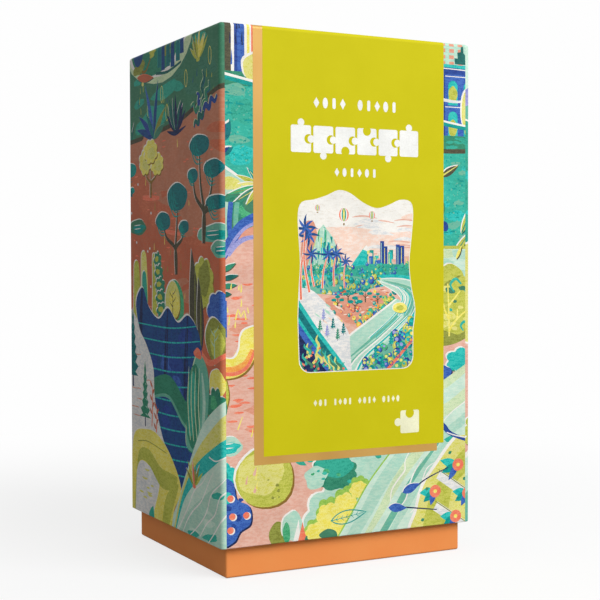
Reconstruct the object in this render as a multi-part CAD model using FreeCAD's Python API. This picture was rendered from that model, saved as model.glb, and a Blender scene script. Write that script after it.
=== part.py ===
"""Boxed jigsaw puzzle: a tall rigid box with a telescoping lid, and what it holds.

The lid is a printed, paper-wrapped greyboard box that drops over a full-height orange tray and
stops on the tray's rim, so that a short orange foot shows below it. A label band with a gilt
border runs up the front, over the top and down the back. The tray holds a film bag of one
thousand loose jigsaw pieces and a folded picture guide that stands behind the bag.

Frame: millimetres, +Z up, the front faces -Y, and the origin is at the middle of the underside.
"""
import FreeCAD, Part

import math
import os
import random

from FreeCAD import Vector

# Overall sizes of the closed box
LID_WIDTH = 140.0          # outside of the lid, along X
LID_DEPTH = 120.0          # outside of the lid, along Y
BOX_HEIGHT = 260.0         # floor to the top of the lid's paper
FOOT_HEIGHT = 15.0         # how much of the tray shows below the lid

# Board and paper
LID_BOARD = 2.5            # greyboard of the lid
TRAY_BOARD = 2.0           # greyboard of the tray
WRAP = 0.2                 # laminated wrapping paper, outside and turned in
LINER = 0.15               # white lining paper
STAY = 0.1                 # gummed kraft tape at the board corners, pressed into the board
LABEL = 0.12               # label paper
FOIL = 0.08                # gilt foil, drawn thicker than the real film
UNDER_SHEET = 0.2          # paper pasted under the tray

# Edge radii of the wrapped boxes; the board below is sharper by the paper's thickness
LID_EDGE_R = 1.8
TRAY_EDGE_R = 1.0
RIM_EDGE_R = 0.5

# Fits
LID_CLEARANCE = 0.9        # each side, from the tray's paper to the lid's turned-in paper
BOARD_SEAM = 0.15          # open joint between two folded-up board walls
CONTENT_CLEARANCE = 1.0    # each side, round the bag and the guide
LAYER_GAP = 0.15           # air between one jigsaw piece and the next one up
PIECE_CLEARANCE = 0.4      # sideways, between two jigsaw pieces

# Paper work
LID_TURN_IN = 18.0         # wrap folded into the lid's mouth
TRAY_TURN_IN = 18.0        # wrap folded into the tray's mouth
TRAY_TURN_UNDER = 12.0     # wrap folded under the tray
UNDER_SHEET_MARGIN = 3.0   # from the tray's outside to the edge of the sheet below it
STAY_LEG = 14.0            # each leg of a corner stay
STAY_END = 2.0             # from the stay's ends to the board's ends

# Label band and its gilt border, measured along X from the middle of the front
LABEL_LEFT = -48.0
LABEL_RIGHT = 54.0
LABEL_BOTTOM = 57.0        # above the floor, on the front and on the back
FOIL_LEFT = -53.0
FOIL_RIGHT = 50.0
FOIL_BOTTOM = 53.2

# Contents
GUIDE_WIDTH = 104.0        # folded picture guide, standing on edge behind the bag
GUIDE_HEIGHT = 196.0
GUIDE_THICKNESS = 2.0
GUIDE_FOLD_R = 0.9         # rounding of the guide's folded edges
FILM = 0.3                 # wall of the bag, drawn thicker than the real film
BAG_CORNER_R = 6.0
BAG_EDGE_R = 1.5
BAG_FLOOR_GAP = 1.0        # from the bag's bottom film to the lowest pieces
BAG_HEAD_ROOM = 6.0        # from the top of the pieces to the top of the bag
PIECE_COUNT = 1000
EDGE_PIECE_COUNT = 124     # pieces with one plain side, from the outline of the picture
PIECE_PITCH = 18.0         # body of one jigsaw piece, along each side
PIECE_THICKNESS = 1.8
KNOB_R = 2.6
KNOB_NECK = 3.2            # width of the neck where a knob leaves its side

# Places that follow from the sizes above
LID_TOP = BOX_HEIGHT
LID_RIM = FOOT_HEIGHT
LID_BOARD_TOP = LID_TOP - WRAP
LID_CEILING = LID_BOARD_TOP - LID_BOARD - LINER
INSET = WRAP + LID_BOARD + LINER + WRAP + LID_CLEARANCE
TRAY_WIDTH = LID_WIDTH - 2 * INSET
TRAY_DEPTH = LID_DEPTH - 2 * INSET
TRAY_RIM = LID_CEILING
TRAY_WRAP_BOTTOM = UNDER_SHEET
TRAY_BOARD_BOTTOM = TRAY_WRAP_BOTTOM + WRAP
TRAY_BOARD_TOP = TRAY_RIM - WRAP
TRAY_FLOOR = TRAY_BOARD_BOTTOM + TRAY_BOARD + LINER
TRAY_WALL = WRAP + TRAY_BOARD + LINER + WRAP
INNER_WIDTH = TRAY_WIDTH - 2 * TRAY_WALL
INNER_DEPTH = TRAY_DEPTH - 2 * TRAY_WALL
BEYOND = 5.0               # how far a cutting tool runs past what it cuts


def block(width, depth, low, high, x=0.0, y=0.0):
    """A sharp-edged block centred on x, y."""
    corner = Vector(x - width / 2, y - depth / 2, low)
    return Part.makeBox(width, depth, high - low, corner)


def flat_edges(shape, height):
    """The edges that lie in the level plane at that height."""
    return [e for e in shape.Edges if abs(e.BoundBox.ZMin - height) < 1e-6 and e.BoundBox.ZLength < 1e-6]


def upright_edges(shape):
    """The edges that run straight up."""
    return [e for e in shape.Edges if e.BoundBox.ZLength > 1e-3 and e.BoundBox.XLength < 1e-6]


def soft_block(width, depth, low, high, side_r, top_r=0.0, bottom_r=0.0, x=0.0, y=0.0):
    """A block with rounded upright edges and, where a radius is given, rounded top and bottom edges."""
    shape = block(width, depth, low, high, x, y)
    if top_r == side_r:
        shape = shape.makeFillet(side_r, upright_edges(shape) + flat_edges(shape, high))
    else:
        shape = shape.makeFillet(side_r, upright_edges(shape))
        if top_r:
            shape = shape.makeFillet(top_r, flat_edges(shape, high))
    if bottom_r:
        shape = shape.makeFillet(bottom_r, flat_edges(shape, low))
    return shape


def seams(width, depth, wall, low, high):
    """Four thin slots where the side walls butt against the front and back walls."""
    slots = []
    for side in (-1, 1):
        for end in (-1, 1):
            x = side * (width / 2 - wall / 2)
            y = end * (depth / 2 - wall - BOARD_SEAM / 2)
            slots.append(block(wall + STAY, BOARD_SEAM, low - BEYOND, high, x, y))
    return slots


def corner_stays(width, depth, corner_r, low, high):
    """Four gummed tape strips folded round the board's upright corners, flush with its outside."""
    ring = soft_block(width, depth, low, high, corner_r)
    ring = ring.cut(soft_block(width - 2 * STAY, depth - 2 * STAY, low, high, corner_r - STAY))
    stays = []
    for side in (-1, 1):
        for end in (-1, 1):
            x = side * (width - STAY_LEG) / 2
            y = end * (depth - STAY_LEG) / 2
            stays += ring.common(block(STAY_LEG, STAY_LEG, low, high, x, y)).Solids
    return Part.makeCompound(stays)


def wall_ring(width, depth, thickness, low, high):
    """A sharp-cornered ring of paper on the inside of a mouth of that size."""
    return block(width, depth, low, high).cut(
        block(width - 2 * thickness, depth - 2 * thickness, low - BEYOND, high + BEYOND))


# ---------------------------------------------------------------- lid
def lid_outside(grow=0.0):
    """The lid's outer form, or one that is larger all over by grow, except at the rim."""
    return soft_block(LID_WIDTH + 2 * grow, LID_DEPTH + 2 * grow, LID_RIM, LID_TOP + grow,
                      LID_EDGE_R + grow, LID_EDGE_R + grow, RIM_EDGE_R)


def lid_board_form():
    """The outer form of the lid's board, without its hollow."""
    return soft_block(LID_WIDTH - 2 * WRAP, LID_DEPTH - 2 * WRAP, LID_RIM + WRAP, LID_BOARD_TOP,
                      LID_EDGE_R - WRAP, LID_EDGE_R - WRAP, RIM_EDGE_R - WRAP)


def make_lid_stays():
    return corner_stays(LID_WIDTH - 2 * WRAP, LID_DEPTH - 2 * WRAP, LID_EDGE_R - WRAP,
                        LID_RIM + WRAP + STAY_END, LID_BOARD_TOP - LID_BOARD)


def make_lid_board(stays):
    width = LID_WIDTH - 2 * WRAP
    depth = LID_DEPTH - 2 * WRAP
    ceiling = LID_BOARD_TOP - LID_BOARD
    hollow = block(width - 2 * LID_BOARD, depth - 2 * LID_BOARD, LID_RIM - BEYOND, ceiling)
    board = lid_board_form().cut(hollow)
    return board.cut([stays] + seams(width, depth, LID_BOARD, LID_RIM, ceiling))


def make_lid_liner():
    width = LID_WIDTH - 2 * (WRAP + LID_BOARD)
    depth = LID_DEPTH - 2 * (WRAP + LID_BOARD)
    outer = block(width, depth, LID_RIM + WRAP, LID_BOARD_TOP - LID_BOARD)
    return outer.cut(block(width - 2 * LINER, depth - 2 * LINER, LID_RIM - BEYOND, LID_CEILING))


def make_lid_wrap():
    mouth_width = LID_WIDTH - 2 * (WRAP + LID_BOARD + LINER)
    mouth_depth = LID_DEPTH - 2 * (WRAP + LID_BOARD + LINER)
    mouth = block(mouth_width - 2 * WRAP, mouth_depth - 2 * WRAP, LID_RIM - BEYOND, LID_RIM + LID_TURN_IN)
    turn_in = wall_ring(mouth_width, mouth_depth, WRAP, LID_RIM, LID_RIM + LID_TURN_IN)
    skin = lid_outside().cut(lid_board_form())
    return skin.cut(mouth).fuse(turn_in).removeSplitter()


def band(left, right, bottom, thickness):
    """A strip of paper or foil up the front, over the top and down the back of the lid."""
    strip = block(right - left, LID_DEPTH + 4 * thickness, bottom, LID_TOP + 2 * thickness,
                  x=(left + right) / 2)
    return lid_outside(thickness).cut(lid_outside()).common(strip)


def make_label_band():
    return band(LABEL_LEFT, LABEL_RIGHT, LABEL_BOTTOM, LABEL)


def make_foil_border():
    label_area = block(LABEL_RIGHT - LABEL_LEFT, LID_DEPTH + 2 * BEYOND, LABEL_BOTTOM,
                       LID_TOP + BEYOND, x=(LABEL_LEFT + LABEL_RIGHT) / 2)
    return band(FOIL_LEFT, FOIL_RIGHT, FOIL_BOTTOM, FOIL).cut(label_area)


# ---------------------------------------------------------------- tray
def tray_board_form():
    """The outer form of the tray's board, without its hollow."""
    return soft_block(TRAY_WIDTH - 2 * WRAP, TRAY_DEPTH - 2 * WRAP, TRAY_BOARD_BOTTOM, TRAY_BOARD_TOP,
                      TRAY_EDGE_R - WRAP, RIM_EDGE_R - WRAP, TRAY_EDGE_R - WRAP)


def make_tray_stays():
    return corner_stays(TRAY_WIDTH - 2 * WRAP, TRAY_DEPTH - 2 * WRAP, TRAY_EDGE_R - WRAP,
                        TRAY_BOARD_BOTTOM + TRAY_BOARD, TRAY_BOARD_TOP - STAY_END)


def make_tray_board(stays):
    width = TRAY_WIDTH - 2 * WRAP
    depth = TRAY_DEPTH - 2 * WRAP
    floor = TRAY_BOARD_BOTTOM + TRAY_BOARD
    hollow = block(width - 2 * TRAY_BOARD, depth - 2 * TRAY_BOARD, floor, TRAY_RIM + BEYOND)
    slots = seams(width, depth, TRAY_BOARD, floor + BEYOND, TRAY_RIM + BEYOND)
    return tray_board_form().cut([hollow, stays] + slots)


def make_tray_liner():
    width = TRAY_WIDTH - 2 * (WRAP + TRAY_BOARD)
    depth = TRAY_DEPTH - 2 * (WRAP + TRAY_BOARD)
    outer = block(width, depth, TRAY_BOARD_BOTTOM + TRAY_BOARD, TRAY_BOARD_TOP)
    return outer.cut(block(width - 2 * LINER, depth - 2 * LINER, TRAY_FLOOR, TRAY_RIM + BEYOND))


def make_tray_wrap():
    mouth_width = TRAY_WIDTH - 2 * (WRAP + TRAY_BOARD + LINER)
    mouth_depth = TRAY_DEPTH - 2 * (WRAP + TRAY_BOARD + LINER)
    outer = soft_block(TRAY_WIDTH, TRAY_DEPTH, TRAY_WRAP_BOTTOM, TRAY_RIM,
                       TRAY_EDGE_R, RIM_EDGE_R, TRAY_EDGE_R)
    mouth = block(INNER_WIDTH, INNER_DEPTH, TRAY_RIM - TRAY_TURN_IN, TRAY_RIM + BEYOND)
    under = block(TRAY_WIDTH - 2 * TRAY_TURN_UNDER, TRAY_DEPTH - 2 * TRAY_TURN_UNDER,
                  TRAY_WRAP_BOTTOM - BEYOND, TRAY_BOARD_BOTTOM)
    turn_in = wall_ring(mouth_width, mouth_depth, WRAP, TRAY_RIM - TRAY_TURN_IN, TRAY_RIM)
    return outer.cut([tray_board_form(), mouth, under]).fuse(turn_in).removeSplitter()


def make_under_sheet():
    return soft_block(TRAY_WIDTH - 2 * UNDER_SHEET_MARGIN, TRAY_DEPTH - 2 * UNDER_SHEET_MARGIN,
                      0.0, UNDER_SHEET, TRAY_EDGE_R)


# ---------------------------------------------------------------- contents
GUIDE_Y = INNER_DEPTH / 2 - CONTENT_CLEARANCE - GUIDE_THICKNESS / 2
BAG_WIDTH = INNER_WIDTH - 2 * CONTENT_CLEARANCE
BAG_FRONT = -INNER_DEPTH / 2 + CONTENT_CLEARANCE
BAG_BACK = GUIDE_Y - GUIDE_THICKNESS / 2 - CONTENT_CLEARANCE
BAG_DEPTH = BAG_BACK - BAG_FRONT
BAG_Y = (BAG_FRONT + BAG_BACK) / 2


def make_guide():
    """The picture guide, folded flat, with its folds at the two upright edges."""
    slab = block(GUIDE_WIDTH, GUIDE_THICKNESS, TRAY_FLOOR, TRAY_FLOOR + GUIDE_HEIGHT, y=GUIDE_Y)
    return slab.makeFillet(GUIDE_FOLD_R, upright_edges(slab))


def knob_reach():
    """How far a knob stands out of its side."""
    return math.sqrt(KNOB_R ** 2 - (KNOB_NECK / 2) ** 2) + KNOB_R


def jigsaw_piece(sides, quarter_turns, x, y, low):
    """One piece. sides holds 1 for a knob, -1 for a socket and 0 for a plain side."""
    half = PIECE_PITCH / 2
    corners = [Vector(-half, -half, 0), Vector(half, -half, 0), Vector(half, half, 0), Vector(-half, half, 0)]
    edges = []
    for i, side in enumerate(sides):
        start, end = corners[i], corners[(i + 1) % 4]
        along = (end - start).normalize()
        outward = Vector(along.y, -along.x, 0)
        if side == 0:
            edges.append(Part.LineSegment(start, end).toShape())
            continue
        middle = (start + end) * 0.5
        neck_a = middle - along * (KNOB_NECK / 2)
        neck_b = middle + along * (KNOB_NECK / 2)
        crown = middle + outward * (side * knob_reach())
        edges.append(Part.LineSegment(start, neck_a).toShape())
        edges.append(Part.Arc(neck_a, crown, neck_b).toShape())
        edges.append(Part.LineSegment(neck_b, end).toShape())
    solid = Part.Face(Part.Wire(edges)).extrude(Vector(0, 0, PIECE_THICKNESS))
    solid.rotate(Vector(0, 0, 0), Vector(0, 0, 1), 90 * quarter_turns)
    solid.translate(Vector(x, y, low))
    return solid


def spread(room):
    """Even positions along one axis, as many as that room takes."""
    reach = PIECE_PITCH / 2 + knob_reach()
    span = room - 2 * (reach + PIECE_CLEARANCE)
    count = int(span / (PIECE_PITCH + PIECE_CLEARANCE)) + 1
    return [-span / 2 + span * i / (count - 1) for i in range(count)]


COLUMNS_X = spread(BAG_WIDTH - 2 * FILM)
COLUMNS_Y = spread(BAG_DEPTH - 2 * FILM)
PIECES_BOTTOM = TRAY_FLOOR + FILM + BAG_FLOOR_GAP
SLOT = PIECE_THICKNESS + LAYER_GAP
LAYERS = math.ceil(PIECE_COUNT / (len(COLUMNS_X) * len(COLUMNS_Y)))
PIECES_TOP = PIECES_BOTTOM + 2 * LAYERS * SLOT
BAG_TOP = PIECES_TOP + BAG_HEAD_ROOM


def make_pieces():
    """The loose pieces in columns; next-door columns are one slot apart, so that knobs pass each other."""
    rng = random.Random(11)
    places = []
    for layer in range(LAYERS):
        for i, x in enumerate(COLUMNS_X):
            for j, y in enumerate(COLUMNS_Y):
                low = PIECES_BOTTOM + (2 * layer + (i + j) % 2) * SLOT
                places.append((x, BAG_Y + y, low))
    places = places[:PIECE_COUNT]
    edge_ones = set(rng.sample(range(PIECE_COUNT), EDGE_PIECE_COUNT))
    edge_pieces, inner_pieces = [], []
    for number, (x, y, low) in enumerate(places):
        sides = [rng.choice((-1, 1)) for _ in range(4)]
        if number in edge_ones:
            sides[0] = 0
        piece = jigsaw_piece(sides, rng.randrange(4), x, y, low)
        (edge_pieces if number in edge_ones else inner_pieces).append(piece)
    return Part.makeCompound(edge_pieces), Part.makeCompound(inner_pieces)


def make_bag():
    """The sealed film bag, as a closed shell round the pieces."""
    outer = soft_block(BAG_WIDTH, BAG_DEPTH, TRAY_FLOOR, BAG_TOP, BAG_CORNER_R, BAG_EDGE_R, BAG_EDGE_R, y=BAG_Y)
    inner = soft_block(BAG_WIDTH - 2 * FILM, BAG_DEPTH - 2 * FILM, TRAY_FLOOR + FILM, BAG_TOP - FILM,
                       BAG_CORNER_R - FILM, BAG_EDGE_R - FILM, BAG_EDGE_R - FILM, y=BAG_Y)
    return outer.cut(inner)


def main():
    os.makedirs("parts", exist_ok=True)
    lid_stays = make_lid_stays()
    tray_stays = make_tray_stays()
    edge_pieces, inner_pieces = make_pieces()
    nodes = {
        "tray_board": make_tray_board(tray_stays),
        "tray_corner_stays": tray_stays,
        "tray_liner": make_tray_liner(),
        "tray_wrap": make_tray_wrap(),
        "tray_under_sheet": make_under_sheet(),
        "lid_board": make_lid_board(lid_stays),
        "lid_corner_stays": lid_stays,
        "lid_liner": make_lid_liner(),
        "lid_wrap": make_lid_wrap(),
        "label_band": make_label_band(),
        "foil_border": make_foil_border(),
        "picture_guide": make_guide(),
        "bag_film": make_bag(),
        "jigsaw_edge_pieces": edge_pieces,
        "jigsaw_inner_pieces": inner_pieces,
    }
    for name, shape in nodes.items():
        shape.exportStep(f"parts/{name}.step")
        box = shape.BoundBox
        print(f"{name:20s} solids {len(shape.Solids):4d}  valid {shape.isValid()}  volume {shape.Volume:10.1f}"
              f"  z {box.ZMin:7.2f} to {box.ZMax:7.2f}")
    print("bag top", BAG_TOP, "layers", LAYERS, "columns", len(COLUMNS_X), len(COLUMNS_Y))


main()
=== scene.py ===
"""Looks of a boxed jigsaw puzzle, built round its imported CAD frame: the printed wrap, the label and its
gilt border, the boards and papers of the lid and tray, the film bag with its loose pieces and the folded
picture guide, on a plain studio floor."""

import cmath
import math
import random

import bpy
import numpy
from mathutils import Matrix, Vector
from mathutils.geometry import delaunay_2d_cdt


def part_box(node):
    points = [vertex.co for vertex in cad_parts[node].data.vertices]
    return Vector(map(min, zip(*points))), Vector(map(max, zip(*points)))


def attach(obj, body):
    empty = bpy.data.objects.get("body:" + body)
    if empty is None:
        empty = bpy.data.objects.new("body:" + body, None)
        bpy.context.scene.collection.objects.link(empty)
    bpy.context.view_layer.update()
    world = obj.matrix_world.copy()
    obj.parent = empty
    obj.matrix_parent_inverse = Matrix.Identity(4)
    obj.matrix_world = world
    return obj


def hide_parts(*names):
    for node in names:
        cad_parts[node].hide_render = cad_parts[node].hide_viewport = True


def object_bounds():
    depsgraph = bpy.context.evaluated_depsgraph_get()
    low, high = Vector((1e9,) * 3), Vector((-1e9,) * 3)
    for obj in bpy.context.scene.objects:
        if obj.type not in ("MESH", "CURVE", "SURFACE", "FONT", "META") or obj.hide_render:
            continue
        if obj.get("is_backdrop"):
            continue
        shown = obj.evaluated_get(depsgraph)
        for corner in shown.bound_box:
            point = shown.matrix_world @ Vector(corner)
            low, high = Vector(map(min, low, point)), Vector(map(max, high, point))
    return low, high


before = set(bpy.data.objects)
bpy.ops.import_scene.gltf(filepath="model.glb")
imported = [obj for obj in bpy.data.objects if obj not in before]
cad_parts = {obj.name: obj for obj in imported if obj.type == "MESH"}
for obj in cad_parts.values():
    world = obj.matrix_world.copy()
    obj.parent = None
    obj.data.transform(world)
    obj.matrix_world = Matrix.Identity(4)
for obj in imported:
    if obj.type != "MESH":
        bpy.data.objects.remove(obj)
CAD_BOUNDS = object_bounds()
TAU = math.tau
MM = 0.001

# ------------ places taken from the frame, in mm
def corners(node):
    """Lowest and highest corner of a CAD node, in millimetres."""
    low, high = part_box(node)
    return low / MM, high / MM


WRAP_LOW, WRAP_HIGH = corners("lid_wrap")
WIDTH = WRAP_HIGH.x - WRAP_LOW.x
DEPTH = WRAP_HIGH.y - WRAP_LOW.y
TOP = WRAP_HIGH.z
RIM = WRAP_LOW.z
EDGE_R = 1.8               # rounding of the lid's paper at its upright and top edges
RIM_R = 0.5                # rounding at the lid's lower rim
PRINT_LIFT = 0.03          # the printed face stands this far off the wrap's solid
LABEL_LOW, LABEL_HIGH = corners("label_band")
FOIL_LOW, FOIL_HIGH = corners("foil_border")

# ------------ colours and materials
INKS = {                   # name: body colour, colour of the dry-brush strokes over it, how much they cover
    "paper": ("#F4F1EA", "#E6E0D4", 0.15),
    "label_cream": ("#F4F3CF", "#ECEBC0", 0.10),
    "label_white": ("#F3F3EF", "#E9E9E2", 0.10),
    "blush": ("#F7E4D8", "#F3D2BF", 0.40),
    "snow": ("#F3EFE9", "#D9DCDD", 0.35),
    "pink": ("#EABDAB", "#E3AB97", 0.35),
    "rose": ("#E6A58D", "#DC957C", 0.40),
    "terracotta": ("#D67C5A", "#CB6E4E", 0.45),
    "coral": ("#F2785C", "#F08E70", 0.30),
    "orange": ("#F39C4B", "#F7B45C", 0.35),
    "yellow": ("#EFE05A", "#F4EA86", 0.35),
    "lime": ("#D8D45A", "#E3DE86", 0.45),
    "lime_deep": ("#B4BA45", "#C8CA5C", 0.40),
    "olive": ("#868A3A", "#9AA04A", 0.40),
    "dark_olive": ("#4E4C3C", "#5D5A45", 0.30),
    "umber": ("#8A6A2E", "#9A7838", 0.30),
    "mint": ("#BFE0CB", "#A8D6C2", 0.35),
    "pale_mint": ("#D6ECD9", "#C4E4D2", 0.35),
    "sage": ("#7DBE9F", "#68B49E", 0.45),
    "sea": ("#4CC4AC", "#35B09C", 0.50),
    "sea_deep": ("#2C9C86", "#3BAF97", 0.45),
    "turquoise": ("#14B3AC", "#3BC6BC", 0.40),
    "teal": ("#0D8C84", "#14A098", 0.40),
    "green": ("#3FA36F", "#58B783", 0.40),
    "deep_green": ("#2B7F63", "#3B9072", 0.45),
    "pine": ("#1C5E58", "#257069", 0.40),
    "royal": ("#3257AB", "#4670BE", 0.40),
    "navy": ("#233C88", "#2F509C", 0.45),
    "night": ("#1E2A52", "#2A3A68", 0.30),
    "lilac": ("#8E8FCB", "#A5A6DA", 0.40),
    "moss": ("#4F8A6C", "#438063", 0.45),
    "moss_deep": ("#3D7A62", "#4A8870", 0.45),
    "reed": ("#C4DDB0", "#D6E6BC", 0.40),
    "leaf_green": ("#8CBF4E", "#A2CC5C", 0.40),
    "clay": ("#CB8A6E", "#C67E60", 0.40),
    "brick": ("#CD6847", "#C76F50", 0.45),
    "petrol": ("#12686E", "#1B7C80", 0.45),
    "ink_blue": ("#1D3F7C", "#24548E", 0.45),
}


def linear(code):
    """A hex colour as the linear red, green, blue and alpha that shaders take."""
    parts = [int(code[i:i + 2], 16) / 255 for i in (1, 3, 5)]
    return (*(c / 12.92 if c <= 0.04045 else ((c + 0.055) / 1.055) ** 2.4 for c in parts), 1.0)


def new_material(name):
    """A material with its Principled shader, both empty of everything else."""
    material = bpy.data.materials.new(name)
    material.use_nodes = True
    return material, material.node_tree.nodes["Principled BSDF"]


def fit(material, node, **inputs):
    """Sets a node's inputs to values or joins outputs to them: Base_Color is "Base Color", i6 is number 6."""
    for name, value in inputs.items():
        socket = node.inputs[int(name[1:])] if name[1:].isdigit() else node.inputs[name.replace("_", " ")]
        if isinstance(value, bpy.types.NodeSocket):
            material.node_tree.links.new(value, socket)
        else:
            socket.default_value = value


def add(material, kind, settings=None, **inputs):
    """Adds a shader node with its settings and fits its inputs."""
    node = material.node_tree.nodes.new("ShaderNode" + kind)
    for name, value in (settings or {}).items():
        setattr(node, name, value)
    fit(material, node, **inputs)
    return node


SMOOTH = {"interpolation_type": "SMOOTHSTEP"}
COLOURS = {"data_type": "RGBA"}    # a mix node's colours are its inputs 6 and 7 and its output 2


def in_mm(material, size, stretch=(1, 1, 1)):
    """Object coordinates counted in patches of that many millimetres."""
    place = add(material, "TexCoord").outputs["Object"]
    return add(material, "Mapping", Vector=place,
               Scale=tuple(1 / (MM * size * s) for s in stretch)).outputs[0]


def clouds(material, size, stretch=(1, 1, 1), detail=3.0, roughness=0.55):
    """A cloudy or fibrous pattern between 0 and 1, with patches about that many millimetres across."""
    return add(material, "TexNoise", Vector=in_mm(material, size, stretch), Scale=1.0, Detail=detail,
               Roughness=roughness).outputs[0]


def film_relief(material, shader):
    """The fine orange peel of matt laminating film."""
    height = clouds(material, 0.5, detail=2.0)
    fit(material, shader,
        Normal=add(material, "Bump", Strength=0.6, Distance=0.012 * MM, Height=height).outputs[0])


def printed_paper():
    """Gouache-like print on art paper under matt film: flat inks, dry-brush strokes and a sprayed grain."""
    material, shader = new_material("matt_laminated_print")
    ink = add(material, "Attribute", {"attribute_name": "ink"}).outputs["Color"]
    over = add(material, "Attribute", {"attribute_name": "ink_over"})
    strokes = clouds(material, 1.1, (3, 3, 1), 4.0, 0.7)
    speckle = clouds(material, 0.55, detail=2.0)
    wash = clouds(material, 14.0, detail=2.0)
    both = add(material, "Math", {"operation": "MULTIPLY_ADD"}, i0=speckle, i1=0.6, i2=strokes).outputs[0]
    cover = add(material, "Math", {"operation": "MULTIPLY_ADD"}, i0=over.outputs["Alpha"], i1=-0.55,
                i2=1.0).outputs[0]
    gap = add(material, "Math", {"operation": "SUBTRACT"}, i0=both, i1=cover).outputs[0]
    brushed = add(material, "MapRange", SMOOTH, Value=gap, From_Min=-0.06, From_Max=0.05).outputs[0]
    colour = add(material, "Mix", COLOURS, i0=brushed, i6=ink, i7=over.outputs["Color"]).outputs[2]
    tone = add(material, "MapRange", SMOOTH, Value=wash, From_Min=0.3, From_Max=0.7, To_Min=0.94,
               To_Max=1.05).outputs[0]
    fine = add(material, "MapRange", SMOOTH, Value=speckle, From_Min=0.25, From_Max=0.75, To_Min=0.95,
               To_Max=1.05).outputs[0]
    tone = add(material, "Math", {"operation": "MULTIPLY"}, i0=tone, i1=fine).outputs[0]
    grey = add(material, "CombineColor", i0=tone, i1=tone, i2=tone).outputs[0]
    colour = add(material, "Mix", {**COLOURS, "blend_type": "MULTIPLY"}, i0=1.0, i6=colour,
                 i7=grey).outputs[2]
    fit(material, shader, Base_Color=colour, Roughness=0.48, Specular_IOR_Level=0.12)
    film_relief(material, shader)
    return material


PRINT = printed_paper()

# ------------ drawing kit
# A point on a sheet is a complex number in millimetres: real part along the sheet, imaginary part up it.


def curve(points, closed=True, steps=5):
    """A smooth line through a few points (Catmull-Rom)."""
    count = len(points)
    line = []
    for i in range(count if closed else count - 1):
        if closed:
            a, b, c, d = (points[(i + k) % count] for k in (-1, 0, 1, 2))
        else:
            a, b, c, d = (points[min(max(i + k, 0), count - 1)] for k in (-1, 0, 1, 2))
        for j in range(steps):
            t = j / steps
            line.append(b + 0.5 * t * (c - a + t * (2 * a - 5 * b + 4 * c - d + t * (3 * (b - c) + d - a))))
    return line if closed else line + [points[-1]]


def stroke(line, start, end=None, belly=0.0):
    """The outline of a brush stroke along a line, from its start width to its end width."""
    end = start if end is None else end
    count = len(line)
    left, right = [], []
    for i, point in enumerate(line):
        along = line[min(i + 1, count - 1)] - line[max(i - 1, 0)]
        side = 1j * along / max(abs(along), 1e-6)
        t = i / (count - 1)
        half = 0.5 * (start * (1 - t) + end * t + belly * math.sin(math.pi * t))
        left.append(point + side * half)
        right.append(point - side * half)
    return left + right[::-1]


def blob(at, rx, ry, seed=0, wobble=0.05, turn=0.0, count=22):
    """A soft closed form, nearly an ellipse."""
    rng = random.Random(seed)
    waves = [(k, rng.uniform(0, TAU), rng.uniform(0.3, 1) * wobble) for k in (2, 3, 5)]
    outline = []
    for i in range(count):
        t = TAU * i / count
        swell = 1 + sum(a * math.cos(k * t + p) for k, p, a in waves)
        outline.append(at + complex(rx * math.cos(t), ry * math.sin(t)) * swell * cmath.rect(1, turn))
    return outline


def scallop(at, rx, ry, lobes, seed=0, depth=0.16, turn=0.0):
    """A bush: an ellipse whose edge is a row of round lobes."""
    rng = random.Random(seed)
    outline = []
    for lobe in range(lobes):
        size = rng.uniform(0.8, 1.2)
        for j in range(5):
            t = TAU * (lobe + j / 5) / lobes
            swell = 1 - depth + depth * size * 1.6 * math.sin(math.pi * j / 5)
            outline.append(at + complex(rx * math.cos(t), ry * math.sin(t)) * swell * cmath.rect(1, turn))
    return outline


def leaf(at, length, width, turn=math.pi / 2, bend=0.0, steps=9):
    """A pointed leaf from its stalk at that point, leaning by bend at its tip."""
    spine = [at + cmath.rect(length * i / (steps - 1), turn + bend * i / (steps - 1)) for i in range(steps)]
    sides = [], []
    for i, point in enumerate(spine):
        t = i / (steps - 1)
        half = 0.5 * width * math.sin(math.pi * t ** 0.8)
        side = 1j * cmath.rect(1, turn + bend * t)
        sides[0].append(point + side * half)
        sides[1].append(point - side * half)
    return sides[0] + sides[1][::-1][1:-1]


def moved(outline, step):
    return [p + step for p in outline]


def box_of(left, right, bottom, top):
    return [complex(left, bottom), complex(right, bottom), complex(right, top), complex(left, top)]


class Sheet:
    """A flat print: outlines in the order they are painted, each with its ink."""

    def __init__(self, left, right, bottom, top, ground):
        self.layers = [(box_of(left, right, bottom, top), ground, 0)]
        self.within = 0                # the layer that the next forms show in

    def paint(self, outline, ink, within=None):
        """Paints a form where that layer is, and returns the form's own number."""
        self.layers.append((outline, ink, self.within if within is None else within))
        return len(self.layers) - 1

    def lit(self, outline, ink, rim="paper", under=None, step=0.7):
        """A form with a light rim on its upper left and, if asked, a dark one on its lower right."""
        if under:
            self.paint(moved(outline, step * (0.9-0.9j)), under)
        if rim:
            self.paint(moved(outline, step * (-0.9+0.7j)), rim)
        self.paint(outline, ink)

    def line(self, points, ink, width, end=None, belly=0.0, steps=5):
        self.paint(stroke(curve(points, False, steps), width, end, belly), ink)

    def form(self, points, ink, steps=5):
        """A soft closed form through a few points."""
        return self.paint(curve(points, True, steps), ink)

    def panel(self, left, right, bottom, top, ink):
        self.paint(box_of(left, right, bottom, top), ink)

    def fill(self, area, count, seed, mark, *details):
        """Draws marks of one kind at that many spots of a box: its left, right, bottom and top."""
        left, right, bottom, top = area
        rng = random.Random(seed)
        for _ in range(count):
            mark(self, complex(rng.uniform(left, right), rng.uniform(bottom, top)), rng, *details)


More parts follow.
